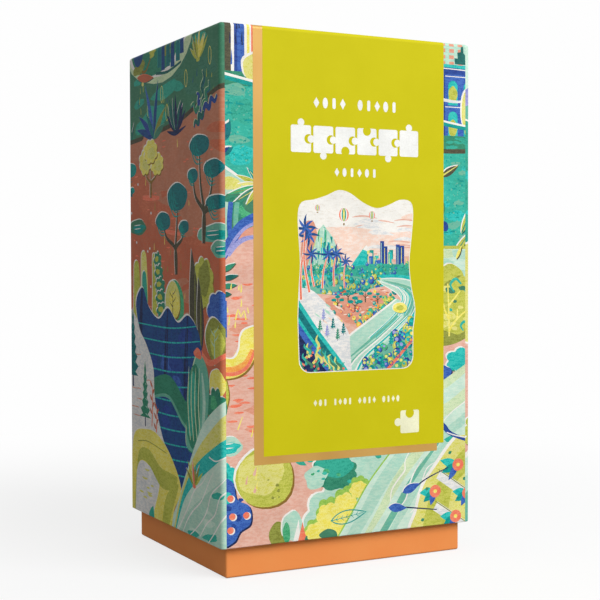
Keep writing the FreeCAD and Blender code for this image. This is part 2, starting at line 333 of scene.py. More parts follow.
# ------------ plants, water and ground of the print
def dash(sheet, at, rng, ink, size, thick):
    """A short wavy dash of the brush."""
    span = size * rng.uniform(0.6, 1.3)
    rise = rng.uniform(-0.5, 0.5)
    sheet.line([at, at + complex(span / 2, rise), at + span], ink, 0.15, thick * 0.4, thick, 3)


def blade(sheet, at, rng, inks, size, thick, lean=0.25):
    """A short upright stroke, like grass."""
    tip = at + cmath.rect(size * rng.uniform(0.6, 1.2), math.pi / 2 + rng.uniform(-lean, lean))
    sheet.line([at, (at + tip) / 2 + rng.uniform(-0.3, 0.3), tip], rng.choice(inks), thick, 0.1, 0.2, 3)


def patch(sheet, at, rng, inks, size, flat):
    """A soft patch of another tone."""
    span = size * rng.uniform(0.5, 1.3)
    outline = blob(at, span, span * flat, rng.random(), 0.12, rng.uniform(-0.2, 0.2), 16)
    sheet.paint(outline, rng.choice(inks))


def agave(sheet, at, size, inks, leaves=9, seed=0):
    """A rosette of stiff pointed leaves."""
    rng = random.Random(seed)
    order = sorted(range(leaves), key=lambda i: -abs(i - (leaves - 1) / 2))
    for i in order:
        turn = math.pi / 2 + (i - (leaves - 1) / 2) * 2.3 / leaves
        length = size * rng.uniform(0.75, 1.05)
        outline = leaf(at, length, size * 0.16, turn, rng.uniform(-0.15, 0.15))
        sheet.lit(outline, rng.choice(inks), "paper" if i % 2 else None, step=0.4)
    sheet.paint(blob(at, size * 0.14, size * 0.07, seed), inks[0])


def palm(sheet, at, size, inks, fronds=8, seed=0, spread=TAU, start=0.0):
    """A crown of fronds seen from the side, each with a notch of light along it."""
    rng = random.Random(seed)
    for i in range(fronds):
        turn = start + spread * (i + 0.3 * rng.random()) / fronds
        outline = leaf(at, size * rng.uniform(0.8, 1.1), size * 0.2, turn, rng.uniform(-0.3, 0.3))
        sheet.lit(outline, inks[i % len(inks)], step=0.5)
        tip = at + cmath.rect(size * 0.75, turn)
        sheet.line([at + cmath.rect(size * 0.12, turn), tip], inks[(i + 1) % len(inks)], 0.5, 0.2, steps=2)


def fern(sheet, at, size, turn, ink, rim="paper", pairs=7):
    """A stem with pairs of leaflets."""
    for i in range(pairs):
        t = (i + 0.6) / pairs
        joint = at + cmath.rect(size * t, turn)
        length = size * 0.34 * (1.15 - t)
        for side in (-1, 1):
            outline = leaf(joint, length, size * 0.1, turn + side * 0.95, steps=6)
            sheet.lit(outline, ink, rim, step=0.35)
    sheet.line([at, at + cmath.rect(size * 1.02, turn)], ink, size * 0.05, 0.15, steps=3)


def trunk(sheet, base, ends, ink, thick, rim="paper"):
    """A trunk that parts into branches, one to each end."""
    fork = base + (sum(ends) / len(ends) - base) * 0.42
    lines = []
    for end in ends:
        knee = fork + (end - fork) * 0.45 + (end.real - fork.real) * 0.3
        lines.append(curve([base, fork, knee, end], False))
    for step, tone in ((-0.45+0.2j, rim), (0, ink)):
        for line in lines:
            if tone:
                sheet.paint(moved(stroke(line, thick, thick * 0.35), step), tone)


def crown_tree(sheet, base, crowns, ink, over, thick=2.2, seed=0):
    """A branching tree with one round crown on each branch."""
    trunk(sheet, base, [c for c, _, _ in crowns], "dark_olive", thick)
    for i, (at, rx, ry) in enumerate(crowns):
        outline = blob(at, rx, ry, seed + i, 0.035)
        sheet.lit(outline, ink, step=0.8)
        for k in range(4):
            arc = [at + cmath.rect(rx * (0.25 + 0.17 * k), a) for a in (2.6, 3.4, 4.3, 5.2)]
            sheet.line(arc, over, 0.35, 0.1, 0.7, 4)


def round_tree(sheet, at, rx, ry, ink, over, seed=0, veins="dark_olive", under="umber"):
    """A round tree with its branches drawn on its crown."""
    sheet.lit(blob(at, rx, ry, seed, 0.04), ink, "paper", under, 1.0)
    sheet.paint(blob(at + complex(rx * 0.2, -ry * 0.2), rx * 0.72, ry * 0.7, seed + 5, 0.08), over)
    foot = at - 1j * ry * 1.25
    sheet.line([foot, at - 0.4j * ry, at + 0.45j * ry], veins, rx * 0.12, 0.2)
    for side, low in ((-1, -0.35), (1, -0.1), (-1, 0.15), (1, 0.3)):
        joint = at + 1j * ry * low
        tip = joint + complex(side * rx * 0.45, ry * 0.35)
        sheet.line([joint, joint + (tip - joint) * 0.5 + side * 0.08 * rx, tip], veins, rx * 0.07, 0.12,
                   steps=3)


def conifer(sheet, foot, height, ink, over, seed=0, tiers=6, rim="paper"):
    """A fir: tiers of drooping boughs, narrower towards the tip."""
    rng = random.Random(seed)
    left, right = [], []
    for i in range(tiers):
        low = foot + 1j * height * (0.14 + 0.86 * i / tiers)
        half = height * 0.19 * (1 - i / tiers) * rng.uniform(0.85, 1.15) + 0.4
        left += [low - half, low - half * 0.45+1j * height * 0.05]
        right += [low + half, low + half * 0.45+1j * height * 0.05]
    outline = left + [foot + 1j * height] + right[::-1]
    sheet.line([foot, foot + 0.3j * height], "night", height * 0.04, height * 0.03, steps=2)
    sheet.lit(outline, ink, rim, step=0.5)
    for i in range(tiers - 1):
        low = foot + 1j * height * (0.2 + 0.8 * i / tiers)
        reach = height * 0.12 * (1 - i / tiers)
        sheet.line([low + 0.1 * reach, low + complex(reach, -height * 0.03)], over, 0.3, 0.12, 0.4, 2)


def bush(sheet, at, rx, ry, ink, over, seed=0, lobes=9, berries=None, under=None):
    """A low bush, with berries if an ink is given for them."""
    rng = random.Random(seed)
    sheet.lit(scallop(at, rx, ry, lobes, seed), ink, "paper", under, 0.8)
    sheet.paint(blob(at + complex(-rx * 0.25, ry * 0.2), rx * 0.45, ry * 0.35, seed, 0.12), over)
    for _ in range(7 if berries else 0):
        spot = at + cmath.rect(rng.uniform(0.2, 0.8), rng.uniform(0, TAU)) * rx
        spot = complex(spot.real, at.imag + (spot.imag - at.imag) * ry / rx)
        size = rng.uniform(0.07, 0.11) * max(rx, ry) + 0.35
        sheet.paint(blob(spot + 0.3 - 0.1j, size, size, 1, 0, count=12), "paper")
        sheet.paint(blob(spot, size * 0.9, size * 0.9, 1, 0, count=12), berries)


def cactus(sheet, foot, height, ink, over, seed=0):
    """A tall cactus with two raised arms."""
    rng = random.Random(seed)
    wide = height * 0.24
    for side in (-1, 1):
        elbow = foot + complex(side * height * 0.25, height * rng.uniform(0.3, 0.45))
        arm = [foot + 1j * elbow.imag - 1j * foot.imag, elbow, elbow + complex(side * 0.3, height * 0.3)]
        sheet.lit(stroke(curve(arm, False, 4), wide * 0.6, wide * 0.5), ink, step=0.4)
    spine = curve([foot, foot + 0.5j * height, foot + 1j * height], False, 4)
    sheet.lit(stroke(spine, wide * 0.85, wide * 0.6, wide * 0.3), ink, step=0.5)
    for side in (-0.2, 0.15):
        sheet.line([foot + wide * side + 1j, foot + wide * side + 0.85j * height], over, 0.3, 0.2, 0.2, 3)


def pond(sheet, at, rx, ry, seed=0, inks=("mint", "turquoise")):
    """A pool with a pale shore and a darker sheet of water."""
    sheet.lit(blob(at, rx, ry, seed, 0.08), inks[0])
    sheet.paint(blob(at + complex(rx * 0.12, -ry * 0.15), rx * 0.7, ry * 0.55, seed + 1, 0.1), inks[1])
    for k in (-0.2, 0.25):
        glint = [at + complex(-rx * 0.4, ry * k), at + complex(rx * 0.35, ry * (k + 0.06))]
        sheet.line(glint, "paper", 0.2, 0.1, 0.4, 3)


def ripples(sheet, start, step, count, length, turn, ink="paper", width=0.5, seed=0):
    """Long wave lines side by side."""
    rng = random.Random(seed)
    for i in range(count):
        at = start + step * i + rng.uniform(-0.1, 0.1) * length * cmath.rect(1, turn)
        points = []
        for k in range(6):
            drift = rng.uniform(-0.12, 0.12) * abs(step) * 2
            points.append(at + cmath.rect(length * k / 5 * rng.uniform(0.9, 1.0),
                                          turn) + 1j * cmath.rect(drift, turn))
        sheet.line(points, ink, width * 0.6, width * 0.3, width * 0.6)


def leaf_outline(sheet, at, length, width, turn, ink):
    """A leaf drawn as a line, with its veins."""
    edge = leaf(at, length, width, turn, steps=12)
    sheet.paint(stroke(edge + edge[:2], 0.55), ink)
    sheet.line([at, at + cmath.rect(length * 0.92, turn)], ink, 0.4, 0.2, steps=3)
    for k in range(1, 6):
        joint = at + cmath.rect(length * k / 7, turn)
        for side in (-1, 1):
            sheet.line([joint, joint + cmath.rect(width * 0.3, turn + side * 0.8)], ink, 0.35, 0.15, steps=2)


def houses(sheet, at, width, height, ink, window, columns=4, rows=6):
    """A plain block with a grid of windows."""
    sheet.lit([at, at + width, at + width + 1j * height, at + 1j * height], ink, step=0.5)
    for i in range(columns):
        for j in range(rows):
            low = at + complex(width * (i + 0.22) / columns, height * (j + 0.2) / rows)
            w, h = width * 0.56 / columns, height * 0.6 / rows
            sheet.paint([low, low + w, low + w + 1j * h, low + 1j * h], window)


def arches(sheet, at, width, height, count, ink, opening, rows=2):
    """A wall with rows of round-headed openings."""
    sheet.paint([at, at + width, at + width + 1j * height, at + 1j * height], ink)
    for row in range(rows):
        low = at.imag + height * row / rows
        for i in range(count):
            middle = at.real + width * (i + 0.5) / count
            half = width * 0.3 / count
            head = low + height * 0.62 / rows
            arc = [complex(middle + half * math.cos(t), head + half * math.sin(t)) for t in
                   (math.pi * k / 8 for k in range(9))]
            sheet.paint([complex(middle - half, low), complex(middle + half, low)] + arc, opening)
        ledge = complex(at.real, low + height * 0.94 / rows)
        sheet.line([ledge, ledge + width], "paper", 0.4, steps=2)


def land(sheet, edge, ink, rim=None, thick=0.8):
    """Ground below an edge line that runs from left to right."""
    line = curve(edge, False, 6)
    sheet.paint(line + [complex(line[-1].real, PRINT_LOW), complex(line[0].real, PRINT_LOW)], ink)
    if rim:
        sheet.paint(stroke(line, thick), rim)


# ------------ the printed faces
PRINT_LOW = RIM - RIM_R            # the sheets run round the rim below and round the top edges
PRINT_HIGH = TOP + EDGE_R
SIDE_SEAM = EDGE_R + 0.8           # the side prints end this far past the corners, on the front and back


def ring_marks(sheet, spots, ink="yellow"):
    """Small upright rings drawn with a thin brush."""
    for spot in spots:
        sheet.paint(stroke(blob(spot, 1.7, 4.2, 7, count=12) + [spot + 1.7], 0.45), ink)


def paint_left():
    """The left side: a lagoon, red earth with round-crowned trees, snow, a blue ridge and a river."""
    sheet = Sheet(-SIDE_SEAM, DEPTH + SIDE_SEAM, PRINT_LOW, PRINT_HIGH, "moss")
    sheet.fill((4, 122, 220, 262), 16, 3, patch, ["moss_deep", "sea_deep"], 11, 0.3)
    sheet.fill((5, 80, 222, 241), 5, 5, patch, ["sea_deep"], 14, 0.25)
    sheet.lit(blob(43+263j, 45, 22, 4, 0.03), "reed", "pale_mint", "moss_deep", 1.2)
    sheet.paint(blob(40+265j, 41, 20.5, 4, 0.03), "paper")
    sheet.paint(blob(39+266j, 39.5, 19.6, 5, 0.03), "deep_green")
    sheet.fill((10, 70, 252, 262), 7, 6, patch, ["moss", "olive"], 7, 0.4)
    sheet.form([7+264j, 9+256j, 14+253.5j, 20+256j, 21+264j], "ink_blue")
    for i, (x, low) in enumerate(((45, 249), (50, 247), (57, 248), (63, 247), (70, 249), (75, 252))):
        sheet.lit(stroke([complex(x, low), complex(x, 264)], 5.0, 4.2), ("petrol", "ink_blue")[i % 2], "sea",
                  None, 0.4)
    sheet.line([40+246.6j, 56+245.4j, 74+248j], "pine", 1.6, 1.2)
    sheet.lit(leaf(13+247.6j, 24, 4.2, -0.16, 0.05), "brick", "coral", "pine", 0.5)
    sheet.line([20+250j, 26+250j, 33+256j], "umber", 1.8, 0.8)
    sheet.paint(blob(35+258j, 4.5, 2.2, 5, 0.15), "lime_deep")
    sheet.paint(blob(21+243.4j, 1.6, 1.1, 3), "lime")
    agave(sheet, 95+246j, 15, ["lime_deep", "yellow", "olive"], 8, 2)
    agave(sheet, 2+213j, 15, ["pine", "deep_green", "teal"], 6, 4)
    ring_marks(sheet, (109+246j, 80+239j, 48+235j, 55+225j, 29+229j))
    sheet.fill((2, 118, 224, 240), 14, 9, blade, ["lime_deep", "ink_blue"], 3.5, 0.7)
    land(sheet, [-4+214j, 20+215j, 50+217j, 75+220j, 100+226j, 124+231j], "clay", "dark_olive", 2.4)
    land(sheet, [-4+212.5j, 20+213.8j, 50+215.4j, 75+218.4j, 100+223.5j, 124+228j], "clay")
    land(sheet, [-4+206j, 16+200j, 40+182j, 64+176j, 92+164j, 124+170j], "terracotta")
    land(sheet, [-4+190j, 14+180j, 44+164j, 80+158j, 124+156j], "brick")
    sheet.fill((0, 122, 120, 214), 16, 12, patch, ["clay", "terracotta"], 12, 0.22)
    for turn, size, ink in ((2.75, 26, "ink_blue"), (2.45, 26, "navy"), (1.85, 32, "royal"),
                            (1.45, 31, "ink_blue"), (0.85, 22, "olive"),
                            (0.5, 17, "moss_deep"), (2.1, 18, "petrol")):
        sheet.lit(leaf(36.5+213j, size, 4.2, turn, 0.12 if turn > 1.6 else -0.1), ink, "sage", None, 0.35)
    agave(sheet, 67+214j, 20, ["night", "pine", "night"], 9, 8)
    sheet.form([55+215.4j, 66+212.2j, 80+216j, 67+214.6j], "night")
    for i, (turn, size) in enumerate(((2.9, 15), (2.3, 12), (1.6, 19), (1.1, 15), (0.35, 17), (-2.6, 13))):
        foot = 101+221j
        tip = foot + cmath.rect(size, turn)
        bow = [foot + (tip - foot) * t + 1.6j * (-1) ** k * cmath.rect(1, turn) for k, t in
               enumerate((0.2, 0.4, 0.6, 0.8))]
        outline = stroke(curve([foot] + bow + [tip], False, 4), 2.6, 1.0, 0.8)
        sheet.lit(outline, ("deep_green", "navy", "pine")[i % 3], "reed", "ink_blue", 0.5)
    sheet.fill((0, 118, 122, 212), 64, 21, dash, "coral", 4.0, 0.6)
    sheet.fill((0, 118, 122, 212), 30, 22, blade, ["olive", "yellow"], 4.0, 0.7, 0.1)
    sheet.line([20+183.6j, 32+182.8j, 44+182.4j], "coral", 2.2, 1.6, 1.0)
    trunk(sheet, 32+183j, [24+199j, 32+203j, 41+198j], "umber", 2.2)
    for at, rx, ry in ((24+202j, 8.4, 6.6), (41+200j, 8.6, 5.6), (32+207j, 9.4, 6.2)):
        sheet.lit(scallop(at, rx, ry, 8, int(at.real), 0.12), "yellow", "paper", "umber", 0.8)
        sheet.paint(blob(at + 1 - 1j, rx * 0.6, ry * 0.5, 4, 0.1), "lime")
    for spot in (13+191j, 3+176j, 32+175j, 10.5+160j, 20+145j, 31+136.5j, 27+155j, 30+156.5j):
        sheet.paint(blob(spot, 0.9, 0.8, 1, 0.1, count=8), "snow")
    pond(sheet, 12.5+168j, 12.5, 4.2, 4, ("moss", "teal"))
    pond(sheet, 112+162.5j, 18, 4.4, 6, ("sage", "teal"))
    pond(sheet, 119+155j, 9, 4.0, 7, ("sage", "teal"))
    sheet.line([52+165j, 62+164j, 72+163j], "coral", 1.6, 1.2, 1.0)
    crown_tree(sheet, 101+158j, [(96+205j, 12.3, 5.0), (112+193j, 11.0, 4.2), (88+191j, 6.4, 3.5),
                                 (115+177j, 11.0, 3.6)], "petrol", "teal", 3.6, 11)
    crown_tree(sheet, 66.5+143j, [(68+181.6j, 13.4, 6.8), (49+170j, 10.0, 4.8), (76.5+166.4j, 6.6, 3.2)],
               "petrol", "teal", 3.2, 17)
    crown_tree(sheet, -4+180j, [(2+199j, 8.6, 4.0), (4+188j, 4.0, 1.8)], "teal", "petrol", 1.8, 23)
    for x, low, high, wide, ink in ((10, 118, 147, 10, "lime_deep"), (21, 118, 152, 10, "lime"),
                                    (21.5, 116, 142, 8, "sea_deep"), (36, 118, 152, 6, "lime_deep")):
        body = stroke(curve([complex(x, low), complex(x + 0.8, (low + high) / 2), complex(x, high)], False),
                      wide, wide * 0.75, 1.0)
        cap = blob(complex(x, high), wide * 0.375, wide * 0.34, 2, 0, count=12)
        sheet.lit(cap, ink, step=0.8)
        sheet.lit(body, ink, step=0.8)
        sheet.paint(blob(complex(x, high), wide * 0.37, wide * 0.34, 2, 0, count=12), ink)
    for k in range(5):
        bush(sheet, complex(41 + 1.6 * k, 150 - 6.5 * k), 5.2 + 0.7 * k, 4.4, "deep_green", "lime_deep", k, 7)
    sheet.lit(blob(64+128j, 12.5, 12, 3, 0.04), "green", step=0.8)
    round_tree(sheet, 61.5+130j, 9.5, 9.5, "lime", "yellow", 3)
    sheet.lit(scallop(100+139j, 12, 12, 9, 5, 0.08), "lime_deep", "paper", "umber", 0.9)
    sheet.paint(blob(101+141j, 7, 8.5, 6, 0.08), "olive")
    for foot, size in ((90+104j, 52), (97+106j, 36)):
        sheet.lit(leaf(foot, size, size * 0.22, 1.6, 0.05), "dark_olive", "paper", "night", 0.6)
        sheet.line([foot + 3j, foot + 0.5j * size, foot + 0.9j * size], "olive", 0.7, 0.2, 0.4, 4)
    sheet.lit(scallop(117+126j, 12, 9, 7, 6, 0.1), "royal", "paper", "night", 0.8)
    round_tree(sheet, 113+113j, 10.5, 10, "olive", "lime_deep", 7, "mint")
    sheet.lit(blob(115+92j, 8, 7, 4, 0.06), "yellow", step=0.6)
    bush(sheet, 114+81j, 9, 9, "deep_green", "green", 9, 8)
    sheet.line([95+107j, 104+102j, 112+102j, 124+106j], "coral", 2.6, 2.2, 0.6)
    sheet.form([-4+117j, 20+115j, 60+118j, 70+110j, 60+76j, 48+40j, 44+12j, -4+12j], "snow", 6)
    sheet.fill((0, 44, 66, 112), 14, 31, dash, "rose", 9, 0.4)
    conifer(sheet, 4+82j, 43, "petrol", "sea_deep", 1, 7)
    conifer(sheet, 22+62j, 35, "deep_green", "mint", 2, 7, "pale_mint")
    ridge = [9+128j, 19+136j, 28+126j, 42+120j, 55+126j, 68+119j, 82+123j, 96+112j, 98+88j,
             90+60j, 82+46j, 74+36j, 60+46j, 46+60j, 36+78j, 34+94j, 24+106j, 14+114j]
    sheet.paint(moved(curve(ridge), -0.8+0.9j), "paper")
    sheet.within = sheet.form(ridge, "ink_blue")
    sheet.fill((30, 92, 38, 118), 14, 34, patch, ["royal", "navy"], 8, 0.6)
    for x, low, high in ((22, 112, 140), (58, 96, 130), (84, 92, 128)):
        sheet.form([complex(x - 9, low), complex(x - 3, high), complex(x - 5, low - 14)], "night")
    for k in range(11):
        low = 117 - 7.4 * k
        sheet.line([complex(8, low), complex(56, low - 1.2), complex(96, low + 1.4)], "turquoise", 0.45, 0.45,
                   0.3)
    for k in range(9):
        sheet.line([complex(34 + 6.5 * k, 124), complex(31 + 6.5 * k, 36)], "navy", 0.5, 0.5, 0.2, 2)
    sheet.line([34+84j, 56+86j, 78+74j, 98+76j], "deep_green", 9.0, 11.0, 2.0)
    sheet.line([34+79j, 56+80.6j, 77+68j, 98+70j], "sage", 1.4, 1.2, 0.5)
    sheet.within = 0
    for foot, top in ((31.5+63j, 32.5+85j), (37+57j, 38.5+74j)):
        sheet.line([foot, (foot + top) / 2 + 0.8, top], "coral", 1.0, 0.6, 0.4, 4)
        for k in range(5):
            sheet.paint(leaf(foot + (top - foot) * (0.3 + 0.16 * k), 4.6, 1.8, 1.57 + 0.8 * (-1) ** k),
                        "brick")
    sheet.lit(curve([78+62j, 84+56.6j, 96+58j, 104+74j, 106+92j, 101+102j, 92+104j, 84+90j], True, 6),
              "sage", "reed", "deep_green", 0.9)
    sheet.paint(blob(87+79j, 8.6, 21, 4, 0.04, -0.12), "deep_green")
    sheet.paint(blob(85.4+80j, 5.6, 16, 5, 0.05, -0.12), "sea_deep")
    for x in (80.5, 84.5, 89, 93.5):
        sheet.line([complex(x + 3, 62), complex(x, 80), complex(x + 1.6, 98)], "reed", 0.7, 0.3, 0.6, 4)
    sheet.line([98+66j, 100.5+82j, 98+96j], "mint", 1.8, 1.2, 2.0)
    sheet.paint(blob(93+105j, 4.6, 2.6, 3, 0.15), "coral")
    for bank, ink in (([52+12j, 66+28j, 80+48j, 100+72j, 126+86j], "pale_mint"),
                      ([60+12j, 74+38j, 94+60j, 126+80j], "lime"),
                      ([62+12j, 74+35j, 92+52j, 126+68j], "turquoise"),
                      ([63+12j, 76+32j, 96+45j, 126+60j], "pale_mint"),
                      ([66+12j, 80+26j, 100+37j, 126+50j], "mint")):
        sheet.paint(curve(bank, False, 6) + [126+12j], ink)
    sheet.fill((84, 118, 16, 40), 6, 37, patch, ["sea", "pale_mint"], 8, 0.25)
    ripples(sheet, 64+15j, 9-0.6j, 5, 62, 0.72, "paper", 0.8, 4)
    sheet.line([106+56.6j, 114+55.6j, 124+58.6j], "paper", 0.7, 0.6)
    agave(sheet, 88+40j, 15, ["coral", "olive", "lime_deep"], 6, 12)
    bough = [-4+16j, 1+42j, 6+57j, 22+60.6j, 38+60j, 56+52j, 71+36.5j, 62+24j, 55+12j, 32+12j,
             42+35j, 26+42j, 14+42.6j, 8+34j, 5+12j]
    sheet.lit(curve(bough, True, 6), "yellow", step=0.8)
    sheet.form([6+12j, 9+38j, 14+49j, 28+50j, 44+43j, 66+41j, 60+34j, 44+33j, 27+42j,
                14+43j, 8+34j, 5+12j], "lime_deep", 6)
    sheet.form([46+14j, 52+30j, 68+38j, 60+24j, 54+14j], "lime_deep")
    sheet.line([11+53j, 26+54.4j, 52+51.4j], "olive", 0.5, 0.4)
    sheet.form([28+12j, 27+17j, 33+21j, 34+12j], "sea", 4)
    sheet.fill((12, 30, 18, 40), 8, 38, dash, "lime", 7, 0.9)
    return sheet


def paint_front():
    """The margin to the left of the label and below it; the label hides the rest."""
    sheet = Sheet(SIDE_SEAM, WIDTH - SIDE_SEAM, PRINT_LOW, PRINT_HIGH, "sea")
    for left, wide, ink in ((0, 2.6, "orange"), (2.6, 3.2, "dark_olive"), (5.8, 1.6, "paper"),
                            (7.4, 1.6, "navy"), (9.0, 3.7, "royal"), (12.7, 1.3, "paper"),
                            (14.0, 1.4, "yellow"), (15.4, 0.8, "paper"), (16.2, 3, "coral")):
        sheet.panel(left, left + wide, 237, 263, ink)
    sheet.fill((3, 13, 240, 259), 9, 3, blade, ["night", "royal"], 6, 0.8, 0.05)
    sheet.panel(0, 20, 231, 237.6, "deep_green")
    sheet.lit(blob(18.4+240j, 6.4, 6.6, 2), "lime", step=1.2)
    sheet.line([0+236.6j, 9+235j, 20+233j], "paper", 1.4, 1.2)
    sheet.line([0+235.0j, 9+233.4j, 20+231.4j], "teal", 2.0)
    sheet.fill((2, 20, 196, 231), 10, 4, patch, ["sage", "sea"], 6, 0.4)
    sheet.paint(blob(12+219j, 6.5, 6, 4, 0.1), "sea_deep")
    sheet.paint(blob(11+199j, 7.5, 4.5, 5, 0.1), "turquoise")
    sheet.fill((2, 20, 196, 231), 150, 8, patch, ["sea_deep", "sage", "teal"], 0.45, 0.8)
    for at, span in ((2+227.4j, 3), (2.4+222.6j, 4.5), (8+222.4j, 4.6), (12.5+215j, 4.5), (14+207j, 3.5),
                     (3.4+218j, 3)):
        sheet.line([at, at + span * 0.5+0.3j, at + span], "teal", 0.5, 0.3, 0.6, 3)
    sheet.line([4.4+224.6j, 4.2+219.6j], "teal", 0.7, 0.5, steps=2)
    sheet.paint(curve([0+194j, 5+191j, 12+187j, 20+185j], False) + [20+150j, 0+150j], "mint")
    sheet.line([0+194.6j, 5+191.6j, 12+187.6j, 20+185.6j], "paper", 1.6, 0.8)
    sheet.paint(blob(5+185.4j, 6, 3.2, 3, 0.08), "lime")
    sheet.paint(blob(7+180.4j, 9, 2.2, 3, 0.1), "mint")
    sheet.panel(0, 20, 150, 178, "green")
    sheet.fill((4, 18, 162, 179), 8, 9, patch, ["moss", "deep_green"], 4, 0.7)
    for x, ink in ((2.6, "mint"), (5.2, "royal"), (8.4, "sage")):
        sheet.line([complex(x, 154), complex(x - 0.5, 168), complex(x + 0.3, 177)], ink, 1.4, 2.4, 0.6, 4)
    for at, turn, size, width, inner in ((0.2+204.4j, 1.05, 11.5, 5.4, 9), (0.4+198.8j, 0.45, 7.4, 3.6, 5.6)):
        sheet.lit(leaf(at, size, width, turn, 0.05), "petrol", step=0.9)
        sheet.paint(leaf(at + 0.4j, inner, 1.8, turn + 0.15, 0.05), "ink_blue")
    heart = 21+184.6j
    for turn, size, ink, vein in ((2.2, 11, "teal", "yellow"), (2.72, 14, "lime_deep", "olive"),
                                  (3.02, 12, "lime", "yellow"), (3.32, 18, "green", "olive"),
                                  (3.6, 16.5, "moss_deep", "yellow"), (3.95, 12, "lime_deep", "olive"),
                                  (4.3, 10, "green", "yellow")):
        sheet.lit(leaf(heart, size, 2.6, turn, 0.06), ink, step=0.5)
        sheet.line([heart, heart + cmath.rect(size * 0.8, turn + 0.05)], vein, 0.4, 0.2)
    land(sheet, [0+150j, 6+157j, 11+163j, 20+167j], "rose")
    sheet.line([0+150j, 5+158j, 11+166j, 20+171j], "royal", 4.6, 4.2, 0.8, 6)
    sheet.line([2+151j, 7+159j, 13+165j, 20+168j], "lilac", 1.0, 1.2, 0.5, 6)
    land(sheet, [0+147j, 6+154j, 12+160j, 20+163j], "pink")
    sheet.panel(18, 100, 12, 62, "pink")
    sheet.line([4+152j, 8+157j, 13+160j, 20+161j], "lilac", 1.8, 1.4, 0.8, 6)
    sheet.fill((2, 44, 16, 128), 16, 11, patch, ["rose", "pink"], 8, 0.3)
    for k, (high, size,
            turn) in enumerate(((144.6, 8.4, 0.5), (141, 9, 0.22), (137.6, 8, 0.1), (134, 5, 0.05))):
        sheet.lit(leaf(0.6 + high * 1j, size, 2.5, turn), ("deep_green", "pine")[k % 2], "paper",
                  "dark_olive", 0.4)
    sheet.fill((2, 17, 62, 150), 30, 14, dash, "coral", 5.0, 0.8)
    sheet.fill((3, 16, 66, 140), 10, 15, blade, ["yellow"], 4, 0.7)
    sheet.line([7.6+122j, 9+127j, 10.4+123.4j, 12+126.4j, 13+122j], "yellow", 0.7, steps=2)
    sheet.panel(0, 3.2, 114, 131, "royal")
    sheet.lit(blob(1+88j, 3.0, 8, 4, 0.06), "lime_deep", "paper", "umber")
    sheet.paint(blob(1+81j, 2.2, 5, 4, 0.06), "deep_green")
    arc = [0+95.6j, 8+95.4j, 14+99j, 18+106j, 20+118j, 13+117.6j, 10.2+114j, 9.4+108j, 6.4+104j, 0+104j]
    sheet.lit(curve(arc), "yellow", "paper", "umber", 0.9)
    sheet.line([0+98.2j, 7+98.4j, 13+101.6j, 16.4+108j], "orange", 4.4, 2.0, 0.6)
    sheet.line([0+97j, 8+97j, 14+100.4j, 17.6+108j], "coral", 1.8, 1.2, 0.4)
    sheet.line([8.6+70.6j, 11+76.6j], "yellow", 0.7, 0.4, steps=2)
    pond(sheet, 3.6+63j, 7.4, 4.6, 4)
    bush(sheet, 2.6+48.6j, 5.0, 6.4, "turquoise", "teal", 3, 6)
    form = [0+46j, 6+46j, 8+38j, 14.6+34j, 15+26j, 9.6+22.6j, 6.4+18j, 0+18.6j]
    sheet.lit(curve(form), "royal", None, "night", 0.8)
    sheet.paint(blob(2.4+39j, 3.4, 2.8, 4), "turquoise")
    sheet.fill((2, 13, 20, 44), 6, 41, patch, ["navy"], 2.2, 0.7)
    for spot in (4.6+38.6j, 5.6+30j, 12.8+30j, 4.6+23.6j):
        sheet.paint(blob(spot + 0.5 - 0.3j, 1.9, 1.8, 1, 0, count=14), "paper")
        sheet.paint(blob(spot, 1.7, 1.6, 1, 0, count=14), "coral")
    sheet.lit(blob(22.6+47j, 15.2, 14.4, 3, 0.03), "lime_deep", "paper", "umber", 1.1)
    sheet.paint(blob(20.6+49.6j, 12.0, 11.0, 6, 0.06), "lime")
    sheet.fill((12, 20, 40, 52), 7, 42, blade, ["pink", "yellow"], 5, 1.0, 0.6)
    sheet.fill((24, 34, 36, 50), 14, 43, patch, ["olive", "lime"], 0.8, 0.9)
    sheet.paint(blob(29.5+19j, 4.8, 6.4, 3), "olive")
    sheet.paint(scallop(62+24j, 19.5, 18, 9, 6, 0.1), "paper")
    sheet.paint(scallop(63+23.4j, 19.3, 18, 9, 6, 0.1), "mint")
    sheet.panel(62, 110, 12, 56, "mint")
    sheet.lit(blob(37+22.6j, 5.4, 7.2, 6), "mint", step=0.8)
    sheet.paint(blob(34+19.6j, 2.0, 5.0, 3, 0.06), "green")
    sheet.paint([36.6+12j, 40.6+25.6j, 42+12j], "paper")
    sheet.paint([39.4+12j, 42.6+24j, 46+12j], "coral")
    sheet.paint(blob(48+15j, 4, 3.4, 2, 0.08), "moss")
    sheet.lit(scallop(60+46.6j, 13, 8.6, 9, 3, 0.1), "deep_green", step=0.8)
    sheet.paint(blob(60+50j, 11, 6, 4, 0.1), "sea_deep")
    sheet.paint(blob(50+45j, 6.4, 5.4, 5, 0.08), "mint")
    sheet.paint(blob(60+41j, 5.4, 2.8, 8, 0.08), "deep_green")
    sheet.fill((46, 70, 40, 54), 8, 44, patch, ["green", "sea"], 1.6, 0.6)
    sheet.lit(leaf(38+55j, 8, 3, -0.5), "sea_deep", step=0.5)
    sheet.paint(leaf(87+52j, 5, 3, 2.6), "sea_deep")
    for k, (spot, rx, ry) in enumerate(((50+19.6j, 6.4, 5.0), (57+27j, 7.0, 7.0), (66+31j, 7.2, 7.4),
                                        (74+38.6j, 5.6, 4.6), (62+20j, 8, 6))):
        sheet.paint(scallop(spot + 0.2 + 0.6j, rx, ry, 7, k, 0.12), "leaf_green")
    for k, (spot, rx, ry) in enumerate(((50+18.6j, 5.8, 4.4), (57+25.4j, 6.6, 6.4), (66+29j, 6.8, 7.0),
                                        (74+37j, 5.2, 4.2), (62+19j, 7.6, 5.8))):
        sheet.paint(scallop(spot, rx, ry, 7, k, 0.1), "yellow")
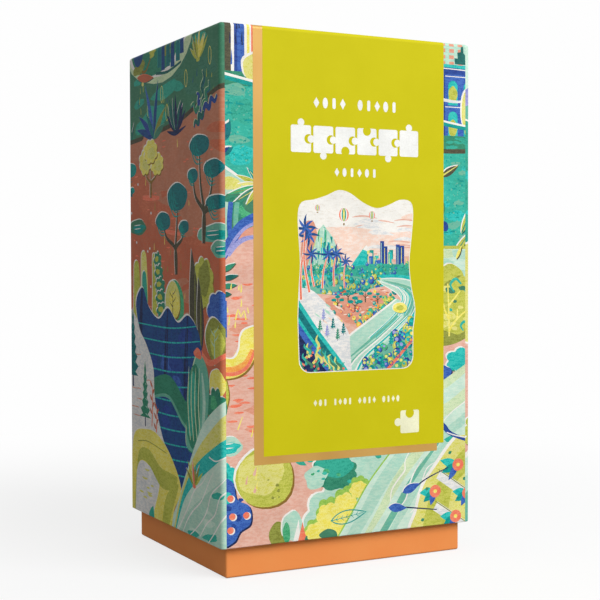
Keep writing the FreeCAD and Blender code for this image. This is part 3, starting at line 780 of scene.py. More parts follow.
    sheet.paint(blob(57+16.6j, 5, 2.6, 3, 0.1), "moss")
    river = curve([60+12j, 70+26j, 80+40.6j, 95+57j], False, 6)
    sheet.paint(river + [150+57j, 150+12j], "pale_mint")
    sheet.paint(stroke(river, 0.8), "leaf_green")
    for right, start, end, belly, ink in ((8.5, 6, 7, 0.5, "mint"), (17, 2.6, 6, 0.6, "reed"),
                                          (26, 3.6, 1, 1, "sage"), (31, 2.6, 5, 1, "mint")):
        sheet.paint(stroke(moved(river, right), start, end, belly), ink)
    ripples(sheet, 92+30j, 6.2-4.2j, 4, 30, 1.12, "paper", 0.8, 9)
    leaf_outline(sheet, 58.4+23j, 20, 6.4, 0.14, "teal")
    island = curve([106+10j, 108+24j, 112+36j, 120+46j, 131+58j, 144+66j, 144+10j], True, 6)
    sheet.lit(island, "lime", step=1.6)
    sheet.form([112+12j, 116+30j, 128+45j, 142+56j, 142+44j, 130+34j, 124+12j], "lime_deep", 6)
    for start, end in ((119+25j, 142+10j), (121+41j, 142+27j)):
        sheet.line([start, end], "snow", 5.0, steps=2)
        sheet.line([start + 2.4j, end + 2.4j], "olive", 0.5, steps=2)
    for spot, turn, size in ((119+32.5j, -2.5, 9), (133+45j, -2.8, 11), (131.5+18.6j, -2.6, 9),
                             (139+30j, 3.6, 9)):
        for k, ink in enumerate(("turquoise", "teal", "royal")):
            sheet.paint(leaf(spot - 0.6, size - 0.8 * k, 4.6 - 0.5 * k, turn + 0.62 * (k - 1)), ink)
        sheet.paint(scallop(spot, 3.4, 3.2, 6, 1, 0.0), "coral")
        sheet.paint(blob(spot, 1.1, 1.0, 1, 0.03, count=12), "yellow")
    for blade_at, tip, turn in ((91+26.6j, 120+23j, -0.1), (99.4+33.4j, 127+44j, 0.36)):
        sheet.line([blade_at + 5, (blade_at + tip) / 2+0.4j, tip], "night", 0.9, 0.5)
        sheet.lit(leaf(blade_at, 11, 4.4, turn), "royal", step=0.5)
    for spot in (113+33.6j, 110.4+18j, 127+51j, 136+37j):
        sheet.paint(leaf(spot, 2.4, 1.7, 0.5), "deep_green")
    paint_front_right(sheet)
    return sheet


def paint_front_right(sheet):
    """The narrow strip to the right of the label."""
    left = 121
    houses(sheet, left + 248j, 21, 16, "mint", "rose", 4, 5)
    sheet.paint(conifer_like(134+249.4j), "pine")
    sheet.panel(left, 143, 240.6, 249, "navy")
    sheet.line([left + 248.4j, 132+248.2j, 143+247.8j], "turquoise", 1.6)
    sheet.line([left + 247.0j, 132+246.8j, 143+246.4j], "paper", 0.5)
    arches(sheet, 125+213j, 19, 31, 2, "royal", "turquoise")
    sheet.panel(left, 125, 213, 244, "navy")
    for spot in (129.7+234j, 139.4+234j, 129.7+217j, 139.4+217j):
        sheet.paint(blob(spot, 2.6, 4.4, 2, 0.06), "lime_deep")
    sheet.line([left + 231.4j, 130+230.4j, 136+230.8j], "snow", 1.8, 1.0)
    sheet.lit(blob(140.4+226j, 5.4, 12, 4), "lime", "paper", "olive", 0.9)
    sheet.panel(left, 143, 205, 213, "deep_green")
    sheet.fill((124, 140, 207, 212), 6, 3, patch, ["sea_deep"], 3, 0.3)
    sheet.line([left + 219.4j, 131+217.8j, 143+216.4j], "teal", 1.8)
    sheet.line([left + 220.8j, 131+219.2j, 143+217.8j], "paper", 1.0)
    sheet.paint([left + 203.6j, 143+204.6j, 143+206.8j, left + 206j], "dark_olive")
    sheet.panel(left, 143, 157, 204, "sea")
    sheet.fill((left, 140, 160, 203), 12, 4, patch, ["sea_deep", "turquoise", "sage"], 5, 0.4)
    sheet.fill((left, 140, 158, 203), 150, 5, patch, ["sea_deep", "sage", "teal"], 0.45, 0.8)
    sheet.fill((left, 140, 160, 192), 7, 7, dash, "teal", 4, 0.6)
    sheet.lit(leaf(122.6+192j, 12.5, 3.8, 0.52), "dark_olive", step=0.6)
    sheet.line([123.5+192.8j, 132.6+198j], "lime", 0.9, 0.3, steps=2)
    sheet.lit(leaf(122+172j, 8, 4, 1.3), "deep_green", step=0.4)
    sheet.paint(blob(124.6+167j, 2.4, 2.6, 3), "navy")
    for at, turn, size in ((135+163.4j, 1.15, 17), (130.6+152j, 0.92, 15)):
        sheet.lit(leaf(at, size, 3.4, turn), "lime_deep", "paper", "pine", 0.6)
        sheet.line([at + 0.4 + 0.6j, at + cmath.rect(size * 0.8, turn)], "deep_green", 0.9, 0.3, steps=2)
    sheet.panel(left, 143, 60, 157, "pale_mint")
    sheet.panel(left, 143, 155.6, 157.2, "lime_deep")
    sheet.fill((left, 140, 142, 154), 5, 9, patch, ["reed", "mint"], 6, 0.3)
    sheet.lit(leaf(131.6+150.4j, 8, 1.8, 1.1), "yellow", None, "dark_olive", 0.6)
    sheet.lit(blob(128+139j, 8.4, 9, 5, 0.04), "lime_deep")
    sheet.lit(scallop(134+124j, 14, 17.6, 10, 4, 0.06), "olive", None, "umber", 0.9)
    sheet.paint(blob(133+126j, 12, 15, 6, 0.08), "lime_deep")
    sheet.fill((124, 140, 108, 142), 13, 45, patch, ["sea", "moss", "lime"], 2.4, 0.5)
    for k in range(3):
        centre = (131.6+137j, 137+116j, 139+134j)[k]
        sheet.line([centre + cmath.rect(3.4 - k, a) for a in (0.2, 1.6, 3.0, 4.4)], "sea", 0.9, 0.5, 0.8, 4)
    for points in ((127.6+98j, 127.4+120j, 126.6+138j), (127.4+127j, 130+129.6j, 134+134j),
                   (127.4+114j, 132+119.6j, 141+126j), (127.4+120j, 125+124j, 124+128j),
                   (132.4+119.6j, 132.6+125j)):
        sheet.line(list(points), "yellow", 1.2, 0.7, steps=3)
    sheet.line([127.6+107j, 127.7+97j], "umber", 1.2, 1.0, steps=2)
    sheet.paint(curve([118+107j, 130+108j, 143+113j], False) + [143+92j, 118+92j], "pink")
    sheet.form([118+106.4j, 128+106.6j, 136+109j, 143+113j, 143+118j, 134+112j, 118+110j], "olive", 4)
    sheet.lit(scallop(135+98.4j, 9, 6.2, 6, 5, 0.14), "turquoise", "paper", "deep_green", 0.9)
    sheet.lit(scallop(123.6+92j, 5.6, 4.4, 6, 7, 0.1), "royal", "paper", "night", 0.8)
    sheet.form([112+82j, 126+90j, 143+99j, 143+94j, 130+87j, 118+76j], "reed")
    for low, ink, thick in ((82, "pale_mint", 7), (75, "reed", 6), (69, "pale_mint", 5), (63, "mint", 5)):
        sheet.line([112 + (low - 6) * 1j, 128 + low * 1j, 145 + (low + 11) * 1j], ink, thick)
    sheet.line([122+66j, 130+73j, 143+80j], "paper", 0.5)
    sheet.line([120+68j, 124.4+65j, 129+61j, 143+55.6j], "navy", 3.4, 1.0, 0.4)
    sheet.line([126+62j, 132+60j, 143+57.6j], "paper", 0.6)


def conifer_like(foot):
    """The outline of a small stepped shrub."""
    return [foot + complex(x, y) for x,
            y in ((-3, 0), (-3.4, 3), (-1.4, 3), (-1.6, 6), (0.4, 6.4), (0.6, 9), (2, 9.6),
                                              (2.2, 6), (3.2, 5), (3.4, 0))]


def paint_right():
    """Lagoon above, orchard and river below."""
    sheet = Sheet(-SIDE_SEAM, DEPTH + SIDE_SEAM, PRINT_LOW, PRINT_HIGH, "pale_mint")
    sheet.fill((0, 120, 225, 262), 12, 3, patch, ["mint", "paper"], 13, 0.25)
    sheet.paint(curve([-4+236j, 20+248j, 44+238j, 70+252j, 96+240j, 124+250j], False, 6)
                + [124+200j, -4+200j], "lilac")
    sheet.paint(curve([-4+228j, 26+236j, 60+230j, 92+240j, 124+232j], False, 6) + [124+200j, -4+200j], "sage")
    for i in range(9):
        conifer(sheet, complex(4 + 14 * i, 220 + 5 * (i % 3)), 16 + 4 * (i % 2), "pine", "turquoise", i, 5)
    land(sheet, [-4+222j, 30+216j, 70+222j, 124+214j], "sea_deep", "paper", 0.9)
    sheet.fill((0, 120, 160, 216), 22, 5, patch, ["sea", "turquoise"], 13, 0.22)
    sheet.fill((0, 120, 160, 216), 26, 7, dash, "mint", 7, 0.6)
    sheet.fill((0, 120, 160, 216), 14, 8, dash, "royal", 6, 0.7)
    pond(sheet, 34+196j, 22, 9, 3, ("lime", "lime_deep"))
    palm(sheet, 30+208j, 15, ["green", "lime", "teal"], 9, 4)
    palm(sheet, 44+203j, 11, ["deep_green", "lime_deep"], 8, 6)
    for k, at in enumerate((70+186j, 88+200j, 104+178j, 12+176j, 52+170j)):
        sheet.lit(blob(at, 7.5, 3.2, k), "green", "paper", "pine", 0.6)
        for j in range(5):
            sheet.paint(leaf(at + 0.5j, 4.2, 2.0, math.pi / 2 + 0.5 * (j - 2)), ("coral", "pink")[j % 2])
    land(sheet, [-4+158j, 24+164j, 60+154j, 96+160j, 124+152j], "lime", "paper", 1.0)
    sheet.fill((0, 120, 110, 150), 18, 13, patch, ["lime_deep", "yellow", "lime"], 10, 0.3)
    sheet.fill((0, 120, 96, 152), 60, 14, blade, ["green", "olive", "yellow"], 5, 0.7)
    for i, tree in enumerate(((16+136j, 13, 15, "green", "sea", "paper"),
                              (44+142j, 11, 13, "teal", "turquoise", "night"),
                              (72+134j, 14, 16, "orange", "yellow", "umber"),
                              (104+140j, 12, 15, "deep_green", "green", "lime"))):
        round_tree(sheet, *tree[:5], i, tree[5])
    land(sheet, [-4+108j, 34+102j, 80+112j, 124+104j], "pink", "paper", 0.9)
    sheet.fill((0, 120, 40, 104), 14, 23, patch, ["rose", "pink"], 12, 0.3)
    sheet.fill((0, 120, 40, 104), 50, 24, dash, "coral", 4.5, 0.7)
    sheet.fill((0, 120, 40, 104), 30, 25, blade, ["yellow", "lime"], 5, 0.7, 0.1)
    agave(sheet, 20+84j, 28, ["navy", "royal", "teal"], 9, 4)
    agave(sheet, 100+78j, 30, ["pine", "teal", "green"], 11, 5)
    cactus(sheet, 60+72j, 30, "green", "lime", 4)
    cactus(sheet, 74+74j, 20, "sea_deep", "mint", 5)
    bush(sheet, 42+78j, 10, 8, "turquoise", "teal", 8, 9, "coral")
    bush(sheet, 84+92j, 9, 7, "royal", "navy", 9, 9, "coral", "night")
    bush(sheet, 8+62j, 12, 9, "lime_deep", "lime", 10, 9, None, "umber")
    stream = curve([-6+46j, 26+60j, 60+50j, 92+58j, 126+44j], False, 7)
    for rise, ink in ((3j, "paper"), (0, "pale_mint"), (-9j, "mint"), (-18j, "sage")):
        sheet.paint(moved(stream, rise) + [126+8j, -6+8j], ink)
    ripples(sheet, 4+42j, -6j, 5, 46, 0.12, "paper", 0.7, 4)
    ripples(sheet, 62+46j, -6.5j, 5, 50, -0.1, "paper", 0.7, 5)
    for k, at in enumerate((22+30j, 58+34j, 98+30j)):
        sheet.lit(blob(at, 11, 5, k + 2, 0.06), "lime", step=0.9)
        sheet.paint(blob(at - 0.5j, 7, 3, k, 0.06), "lime_deep")
        fern(sheet, at, 13, 1.2 + 0.5 * k, "teal", "paper", 6)
        sheet.paint(blob(at + 4, 1.6, 1.6, 1, 0), "coral")
    return sheet


def paint_back():
    """Islands and orchard on both sides of the label, and a stream below it."""
    sheet = Sheet(SIDE_SEAM, WIDTH - SIDE_SEAM, PRINT_LOW, PRINT_HIGH, "sea")
    sheet.fill((0, 140, 150, 262), 40, 3, patch, ["sea_deep", "turquoise"], 12, 0.25)
    sheet.fill((0, 140, 150, 262), 50, 4, dash, "mint", 5, 0.6)
    for k, at in enumerate((7+246j, 8+212j, 6+180j, 133+250j, 131+220j, 133+188j)):
        sheet.lit(blob(at, 8, 5, k, 0.06), "lime", "paper", "pine")
        palm(sheet, at + 3j, 9, ["green", "teal", "lime_deep"], 8, k)
    land(sheet, [0+158j, 20+150j, 120+160j, 142+152j], "pink", "paper", 1.0)
    sheet.fill((0, 140, 20, 150), 60, 5, dash, "coral", 4.5, 0.7)
    sheet.fill((0, 140, 40, 150), 40, 6, blade, ["yellow", "lime"], 5, 0.7, 0.1)
    for k, (at, ink, over) in enumerate(((6+128j, "teal", "turquoise"), (134+132j, "lime_deep", "lime"),
                                         (132+92j, "orange", "yellow"), (7+84j, "green", "sea"))):
        round_tree(sheet, at, 9, 13, ink, over, k)
    for k, at in enumerate((8+60j, 130+66j)):
        agave(sheet, at - 8j, 26, (["navy", "royal", "teal"], ["pine", "teal"])[k], 9, k)
    stream = curve([0+34j, 30+44j, 70+36j, 104+46j, 142+38j], False, 7)
    for rise, ink in ((2j, "paper"), (0, "pale_mint"), (-8j, "mint")):
        sheet.paint(moved(stream, rise) + [142+8j, 8j], ink)
    ripples(sheet, 6+30j, 1-5j, 3, 60, 0.06, "paper", 0.7, 4)
    ripples(sheet, 74+32j, 1-5j, 3, 56, 0.02, "paper", 0.7, 7)
    for k, x in enumerate((20, 48, 84, 118)):
        bush(sheet, complex(x, 42 + 3 * (k % 2)), 12, 8, ("lime_deep", "deep_green", "royal", "turquoise")[k],
             ("lime", "sea_deep", "navy", "teal")[k], k, 9, "coral" if k == 2 else None)
    for k, x in enumerate((36, 66, 102)):
        sheet.lit(blob(complex(x, 22), 10, 4, k, 0.06), "lime", step=0.8)
        fern(sheet, complex(x, 22), 11, 1.0 + 0.5 * k, "teal")
    return sheet


def paint_top():
    """Seen from above with the front below: open water with leaves, on both sides of the label."""
    sheet = Sheet(EDGE_R, WIDTH - EDGE_R, EDGE_R, DEPTH - EDGE_R, "sea")
    sheet.fill((0, 140, 0, 120), 40, 3, patch, ["sea_deep", "turquoise", "sage"], 11, 0.35)
    sheet.fill((0, 140, 0, 120), 46, 4, dash, "mint", 5, 0.6)
    for k, at in enumerate((8+20j, 9+62j, 7+100j, 132+30j, 131+74j, 133+108j)):
        sheet.lit(blob(at, 7, 10, k, 0.06), ("lime", "green", "mint")[k % 3], "paper", "pine")
        fern(sheet, at - 9j, 20, math.pi / 2 + 0.1 * (k % 3 - 1), ("teal", "navy", "royal")[k % 3])
    return sheet


# ------------ folding the sheets round the lid
SIDES = (                  # of the lid: its left corner, the way along it, the way out of it, its length
    (Vector((-WIDTH / 2, -DEPTH / 2, 0)), Vector((1, 0, 0)), Vector((0, -1, 0)), WIDTH),
    (Vector((WIDTH / 2, -DEPTH / 2, 0)), Vector((0, 1, 0)), Vector((1, 0, 0)), DEPTH),
    (Vector((WIDTH / 2, DEPTH / 2, 0)), Vector((-1, 0, 0)), Vector((0, 1, 0)), WIDTH),
    (Vector((-WIDTH / 2, DEPTH / 2, 0)), Vector((0, -1, 0)), Vector((-1, 0, 0)), DEPTH),
)
UP = Vector((0, 0, 1))
ARC_STEPS = 8              # facets of each rounded edge


def wall_point(side, along, high):
    """The place of a point of a side's print, in mm from the side's left end and from the floor."""
    while along < 0:
        side = (side - 1) % 4
        along += SIDES[side][3]
    while along > SIDES[side][3]:
        along -= SIDES[side][3]
        side = (side + 1) % 4
    corner, ahead, out, length = SIDES[side]
    inner = min(max(along, EDGE_R), length - EDGE_R)
    turn = (along - inner) / EDGE_R * math.pi / 4
    core = corner + ahead * inner - out * EDGE_R
    facing = out * math.cos(turn) + ahead * math.sin(turn)
    if high > TOP - EDGE_R:
        tilt = (high - TOP + EDGE_R) / EDGE_R * math.pi / 4
        reach = (EDGE_R + PRINT_LIFT) * math.cos(tilt)
        return core + facing * reach + UP * (TOP - EDGE_R + (EDGE_R + PRINT_LIFT) * math.sin(tilt))
    if high < RIM + RIM_R:
        tilt = (RIM + RIM_R - high) / RIM_R * math.pi / 4
        reach = EDGE_R - RIM_R + (RIM_R + PRINT_LIFT) * math.cos(tilt)
        return core + facing * reach + UP * (RIM + RIM_R - (RIM_R + PRINT_LIFT) * math.sin(tilt))
    return core + facing * (EDGE_R + PRINT_LIFT) + UP * high


def top_point(x, y):
    """The place of a point of the top's print, in mm from the top's front left corner."""
    return Vector((x - WIDTH / 2, y - DEPTH / 2, TOP + PRINT_LIFT))


def fold_lines(side):
    """Where a side's print bends: pairs of sheet points."""
    length = SIDES[side][3]
    step = 2 * EDGE_R / ARC_STEPS
    lines = []
    for k in range(ARC_STEPS + 1):
        for x in (-EDGE_R + k * step, length - EDGE_R + k * step):
            lines.append((complex(x, PRINT_LOW - 5), complex(x, PRINT_HIGH + 5)))
        for y in (TOP - EDGE_R + k * step, RIM - RIM_R + k * 2 * RIM_R / ARC_STEPS):
            lines.append((complex(-20, y), complex(length + 20, y)))
    return lines


def object_from(name, mesh, body, slot, *materials):
    """An object for a finished mesh that rides on a body."""
    piece = bpy.data.objects.new(name, mesh)
    bpy.context.scene.collection.objects.link(piece)
    for material in materials:
        mesh.materials.append(material)
    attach(piece, body)
    return piece


def set_inks(mesh, inks):
    """Gives each face its ink, as the two colours that the print material mixes."""
    for attribute, part in (("ink", 0), ("ink_over", 1)):
        table = {}
        for name, tones in INKS.items():
            table[name] = (*linear(tones[part])[:3], tones[2] if part else 1.0)
        layer = mesh.attributes.new(attribute, "FLOAT_COLOR", "CORNER")
        values = []
        for polygon, ink in zip(mesh.polygons, inks):
            values += table[ink] * polygon.loop_total
        layer.data.foreach_set("color", values)


def covered(outline, spots):
    """Which of those spots the outline goes round."""
    turns = numpy.zeros(len(spots), int)
    for a, b in zip(outline, outline[1:] + outline[:1]):
        side = (b - a).real * (spots.imag - a.imag) - (spots.real - a.real) * (b - a).imag
        turns += (a.imag <= spots.imag) & (b.imag > spots.imag) & (side > 0)
        turns -= (a.imag > spots.imag) & (b.imag <= spots.imag) & (side < 0)
    return turns != 0


def top_inks(sheet, spots):
    """The number of the layer that shows at each spot, or -1 off the sheet."""
    shown = numpy.full(len(spots), -1)
    masks = {}
    inner = {layer[2] for layer in sheet.layers}
    for number, (outline, _, within) in enumerate(sheet.layers):
        xs = [p.real for p in outline]
        ys = [p.imag for p in outline]
        near = numpy.flatnonzero((spots.real > min(xs)) & (spots.real < max(xs))
                                 & (spots.imag > min(ys)) & (spots.imag < max(ys)))
        near = near[covered(outline, spots[near])]
        if number:
            near = near[masks[within][near]]
        if number in inner:
            masks[number] = numpy.zeros(len(spots), bool)
            masks[number][near] = True
        shown[near] = number
    return shown


def print_sheet(name, sheet, place, body, slot, lines=()):
    """Makes a sheet one mesh, cut where inks meet and where the paper bends, and folds it into place."""
    points, edges = [], []
    for outline, _, _ in sheet.layers:
        first = len(points)
        edges += [(first + i, first + (i + 1) % len(outline)) for i in range(len(outline))]
        points += outline
    for start, end in lines:
        edges.append((len(points), len(points) + 1))
        points += [start, end]
    flat = [Vector((p.real, p.imag)) for p in points]
    spots, _, triangles = delaunay_2d_cdt(flat, edges, [], 0, 1e-5, False)[:3]
    middles = numpy.array([sum(complex(*spots[i]) for i in triangle) / 3 for triangle in triangles])
    kept, inks = [], []
    for triangle, number in zip(triangles, top_inks(sheet, middles)):
        if number >= 0 and sheet.layers[number][1]:
            kept.append(triangle)
            inks.append(sheet.layers[number][1])
    used = sorted({i for triangle in kept for i in triangle})
    renumber = {old: new for new, old in enumerate(used)}
    mesh = bpy.data.meshes.new(name)
    corners_of = [[renumber[i] for i in triangle] for triangle in kept]
    mesh.from_pydata([place(spots[i].x, spots[i].y) * MM for i in used], [], corners_of)
    set_inks(mesh, inks)
    return object_from(name, mesh, body, slot, PRINT)


LABEL_MARGIN = 1.0         # the print goes this far under the label


def cut_under_label(sheet, shift, sign):
    """Leaves the print out where the label lies on it. shift is where x = 0 lies on the sheet."""
    ends = sorted((shift + sign * (LABEL_LOW.x + LABEL_MARGIN), shift + sign * (LABEL_HIGH.x - LABEL_MARGIN)))
    sheet.panel(ends[0], ends[1], LABEL_LOW.z + LABEL_MARGIN, PRINT_HIGH + 10, None)


def make_prints():
    front, back, top = paint_front(), paint_back(), paint_top()
    cut_under_label(front, WIDTH / 2, 1)
    cut_under_label(back, WIDTH / 2, -1)
    top.panel(LABEL_LOW.x + WIDTH / 2 + LABEL_MARGIN, LABEL_HIGH.x + WIDTH / 2 - LABEL_MARGIN,
              -5, DEPTH + 5, None)
    for side, (name, sheet) in enumerate((("front", front), ("right", paint_right()), ("back", back),
                                          ("left", paint_left()))):
        print_sheet(f"print_{name}", sheet, lambda x, y, side=side: wall_point(side, x, y), "lid",
                    "printed_wrap", fold_lines(side))
    print_sheet("print_top", top, top_point, "lid", "printed_wrap")


# ------------ the label
MARK_LIFT = 0.02           # printed marks stand this far off the label


def jigsaw_outline(at, width, height, sides, knob, neck, steps=6):
    """A jigsaw piece: 1 is a knob, -1 a socket and 0 a plain side, from the bottom anticlockwise."""
    half = complex(width / 2, height / 2)
    ends = [at - half, at + half.conjugate(), at + half, at - half.conjugate()]
    outline = []
    for i, side in enumerate(sides):
        start, end = ends[i], ends[(i + 1) % 4]
        outline.append(start)
        if not side:
            continue
        along = (end - start) / abs(end - start)
        out = -1j * along * side
        half_neck = math.asin(neck / 2 / knob)
        centre = (start + end) / 2 + out * knob * math.cos(half_neck)
        for k in range(steps + 1):
            turn = math.pi + half_neck + (TAU - 2 * half_neck) * k / steps
            outline.append(centre + out * cmath.rect(knob, turn if side > 0 else -turn))
    return outline


def tile(sheet, at, width, height, sides, knob, ink="label_white", gap=0.5):
    """A jigsaw piece with rounded corners, its sockets wider by a gap so that the next knob clears them."""
    half = complex(width / 2, height / 2)
    sheet.paint(rounded(at, half, min(width, height) * 0.09), ink)
    edges = zip(sides, ((-1j, half.imag), (1, half.real), (1j, half.imag), (-1, half.real)))
    for side, (way, reach) in sorted(edges, key=lambda edge: edge[0]):
        if side:
            size = knob if side > 0 else knob + gap
            middle = at + way * (reach + side * knob * 0.72)
            sheet.paint(blob(middle, size, size, 1, 0, count=26), ink if side > 0 else None)


def rounded(at, half, radius):
    """A box with round corners, by its middle and half its size."""
    outline = []
    for k, way in enumerate((1+1j, -1+1j, -1-1j, 1-1j)):
        centre = at + complex(way.real * (half.real - radius), way.imag * (half.imag - radius))
        outline += [centre + cmath.rect(radius, (k + j / 5) * math.pi / 2) for j in range(6)]
    return outline


def on_label(x, z):
    return Vector((x, LABEL_LOW.y - MARK_LIFT, z))


def on_back_label(x, z):
    return Vector((-x, LABEL_HIGH.y + MARK_LIFT, z))


ROW_MARKS = (              # left end, right end, middle height, height of a mark, marks in each group, ink
    (-20.5, 25.7, 225.5, 5.2, (4, 5), "label_white"),
    (-9.1, 14.1, 192.5, 4.2, (6,), "label_white"),
    (-20.9, 27.3, 81.0, 3.2, (3, 4, 4, 4), "label_cream"),
)
TILES = (-33.8, 39.3, 199.8, 216.0)        # the title's tiles: left, right, low and high
ICON = (33.6, 69.0)                        # middle of the single tile
PICTURE = (-29.2, 35.7, 95.7, 183.9)       # left, right, low and high


def mark_row(sheet, left, right, high, size, groups, ink="label_white"):
    """A row of small ornaments - lozenges, bars and drops - in groups, with a space between the groups."""
    slots = sum(groups) + len(groups) - 1
    step = (right - left) / (slots - 0.5)
    place = 0
    for group in groups:
        for k in range(group):
            at = complex(left + step * (place + 0.25), high)
            outline = ([at - size * 0.3, at - 0.5j * size, at + size * 0.3, at + 0.5j * size],
                       rounded(at, complex(size * 0.17, size * 0.5), size * 0.15),
                       blob(at, size * 0.27, size * 0.5, 1, 0, count=16))[(place + k) % 3]
            sheet.paint(outline, ink)
            place += 1
        place += 1


def make_label(lime):
    """The lime panel with its white marks, a shaped landscape in front and a plain panel behind."""
    dress(lime, "label_band")
    marks = Sheet(-48, 54, 57, 258, None)
    for row in ROW_MARKS:
        mark_row(marks, *row)
    left, right, low, high = TILES
    step = (right - left) / 6
    for k, (below, above) in enumerate(((0, 1), (1, 0), (-1, 0), (0, -1), (1, 0), (0, 1))):
        sides = (below, -1 if k < 5 else 0, above, 1 if k else 0)
        tile(marks, complex(left + step * (k + 0.5), (low + high) / 2), step - 1.3, (high - low) * 0.80,
             sides, 1.8)
    tile(marks, complex(*ICON), 11.0, 11.4, (0, 0, -1, 1), 2.0, "label_cream")
    print_sheet("label_marks", marks, on_label, "lid", "lime_label")
    print_sheet("label_picture", paint_picture(*PICTURE), on_label, "lid", "lime_label")
    behind = Sheet(-52, 46, 57, 258, None)
    for row in range(9):
        mark_row(behind, -38, 30 - (row * 17) % 26, 168 - 6.5 * row, 2.6, (5, 4, 6, 3))
    tile(behind, -33+72j, 9.6, 8.6, (0, 0, -1, 1), 1.9)
    behind.paint(stroke(rounded(24+74j, 14+10j, 1.5) + [38+82.5j], 0.6), "label_white")
    print_sheet("back_marks", behind, on_back_label, "lid", "lime_label")
    print_sheet("back_picture", paint_picture(-38, 38, 180, 244, seed=5), on_back_label, "lid", "lime_label")


def picture_outline(left, right, bottom, top):
    """A panel with round lower corners and a wavy upper edge, like the outline of a shaped puzzle."""
    wide, high = right - left, top - bottom
    r = 6.0
    outline = []
    for centre, start in ((complex(left + r, bottom + r), math.pi),
                          (complex(right - r, bottom + r), 1.5 * math.pi)):
        outline += [centre + cmath.rect(r, start + math.pi / 2 * k / 6) for k in range(7)]
    shares = ((1.0, 0.22), (1.02, 0.34), (0.985, 0.46), (0.965, 0.60), (0.985, 0.74), (1.0, 0.88),
              (0.975, 0.945), (0.88, 0.955), (0.78, 0.925), (0.67, 0.905), (0.55, 0.935), (0.44, 0.985),
              (0.34, 1.0), (0.24, 0.97), (0.13, 0.945), (0.03, 0.93), (-0.005, 0.87), (0.0, 0.74),
              (0.012, 0.60), (0.0, 0.46), (-0.01, 0.30))
    return outline + curve([complex(left + wide * a, bottom + high * b) for a, b in shares], False, 3)


def shrub(sheet, spot, size, ink, over):
    """A round bush a few millimetres across, with a dark side and a light one."""
    sheet.paint(blob(spot + size * (0.2-0.25j), size, size, 1, 0, count=9), "night")
    sheet.paint(blob(spot, size, size * 1.1, size, count=11), ink)
    sheet.paint(blob(spot + size * (-0.25+0.3j), size * 0.5, size * 0.45, 1, 0.1, count=7), over)


def small_palm(sheet, foot, top, size, inks):
    """A palm on a long leaning stem."""
    stem = [foot, (foot + top) / 2 - 0.06 * abs(top - foot), top]
    sheet.line(stem, "paper", size * 0.15, size * 0.1, steps=4)
    sheet.line(stem, "coral", size * 0.1, size * 0.06, steps=4)
    for k in range(8):
        frond = leaf(top, size * (0.62, 0.5)[k % 2], size * 0.13, TAU * (k + 0.4) / 8, -0.4, 6)
        sheet.paint(frond, inks[k % len(inks)])


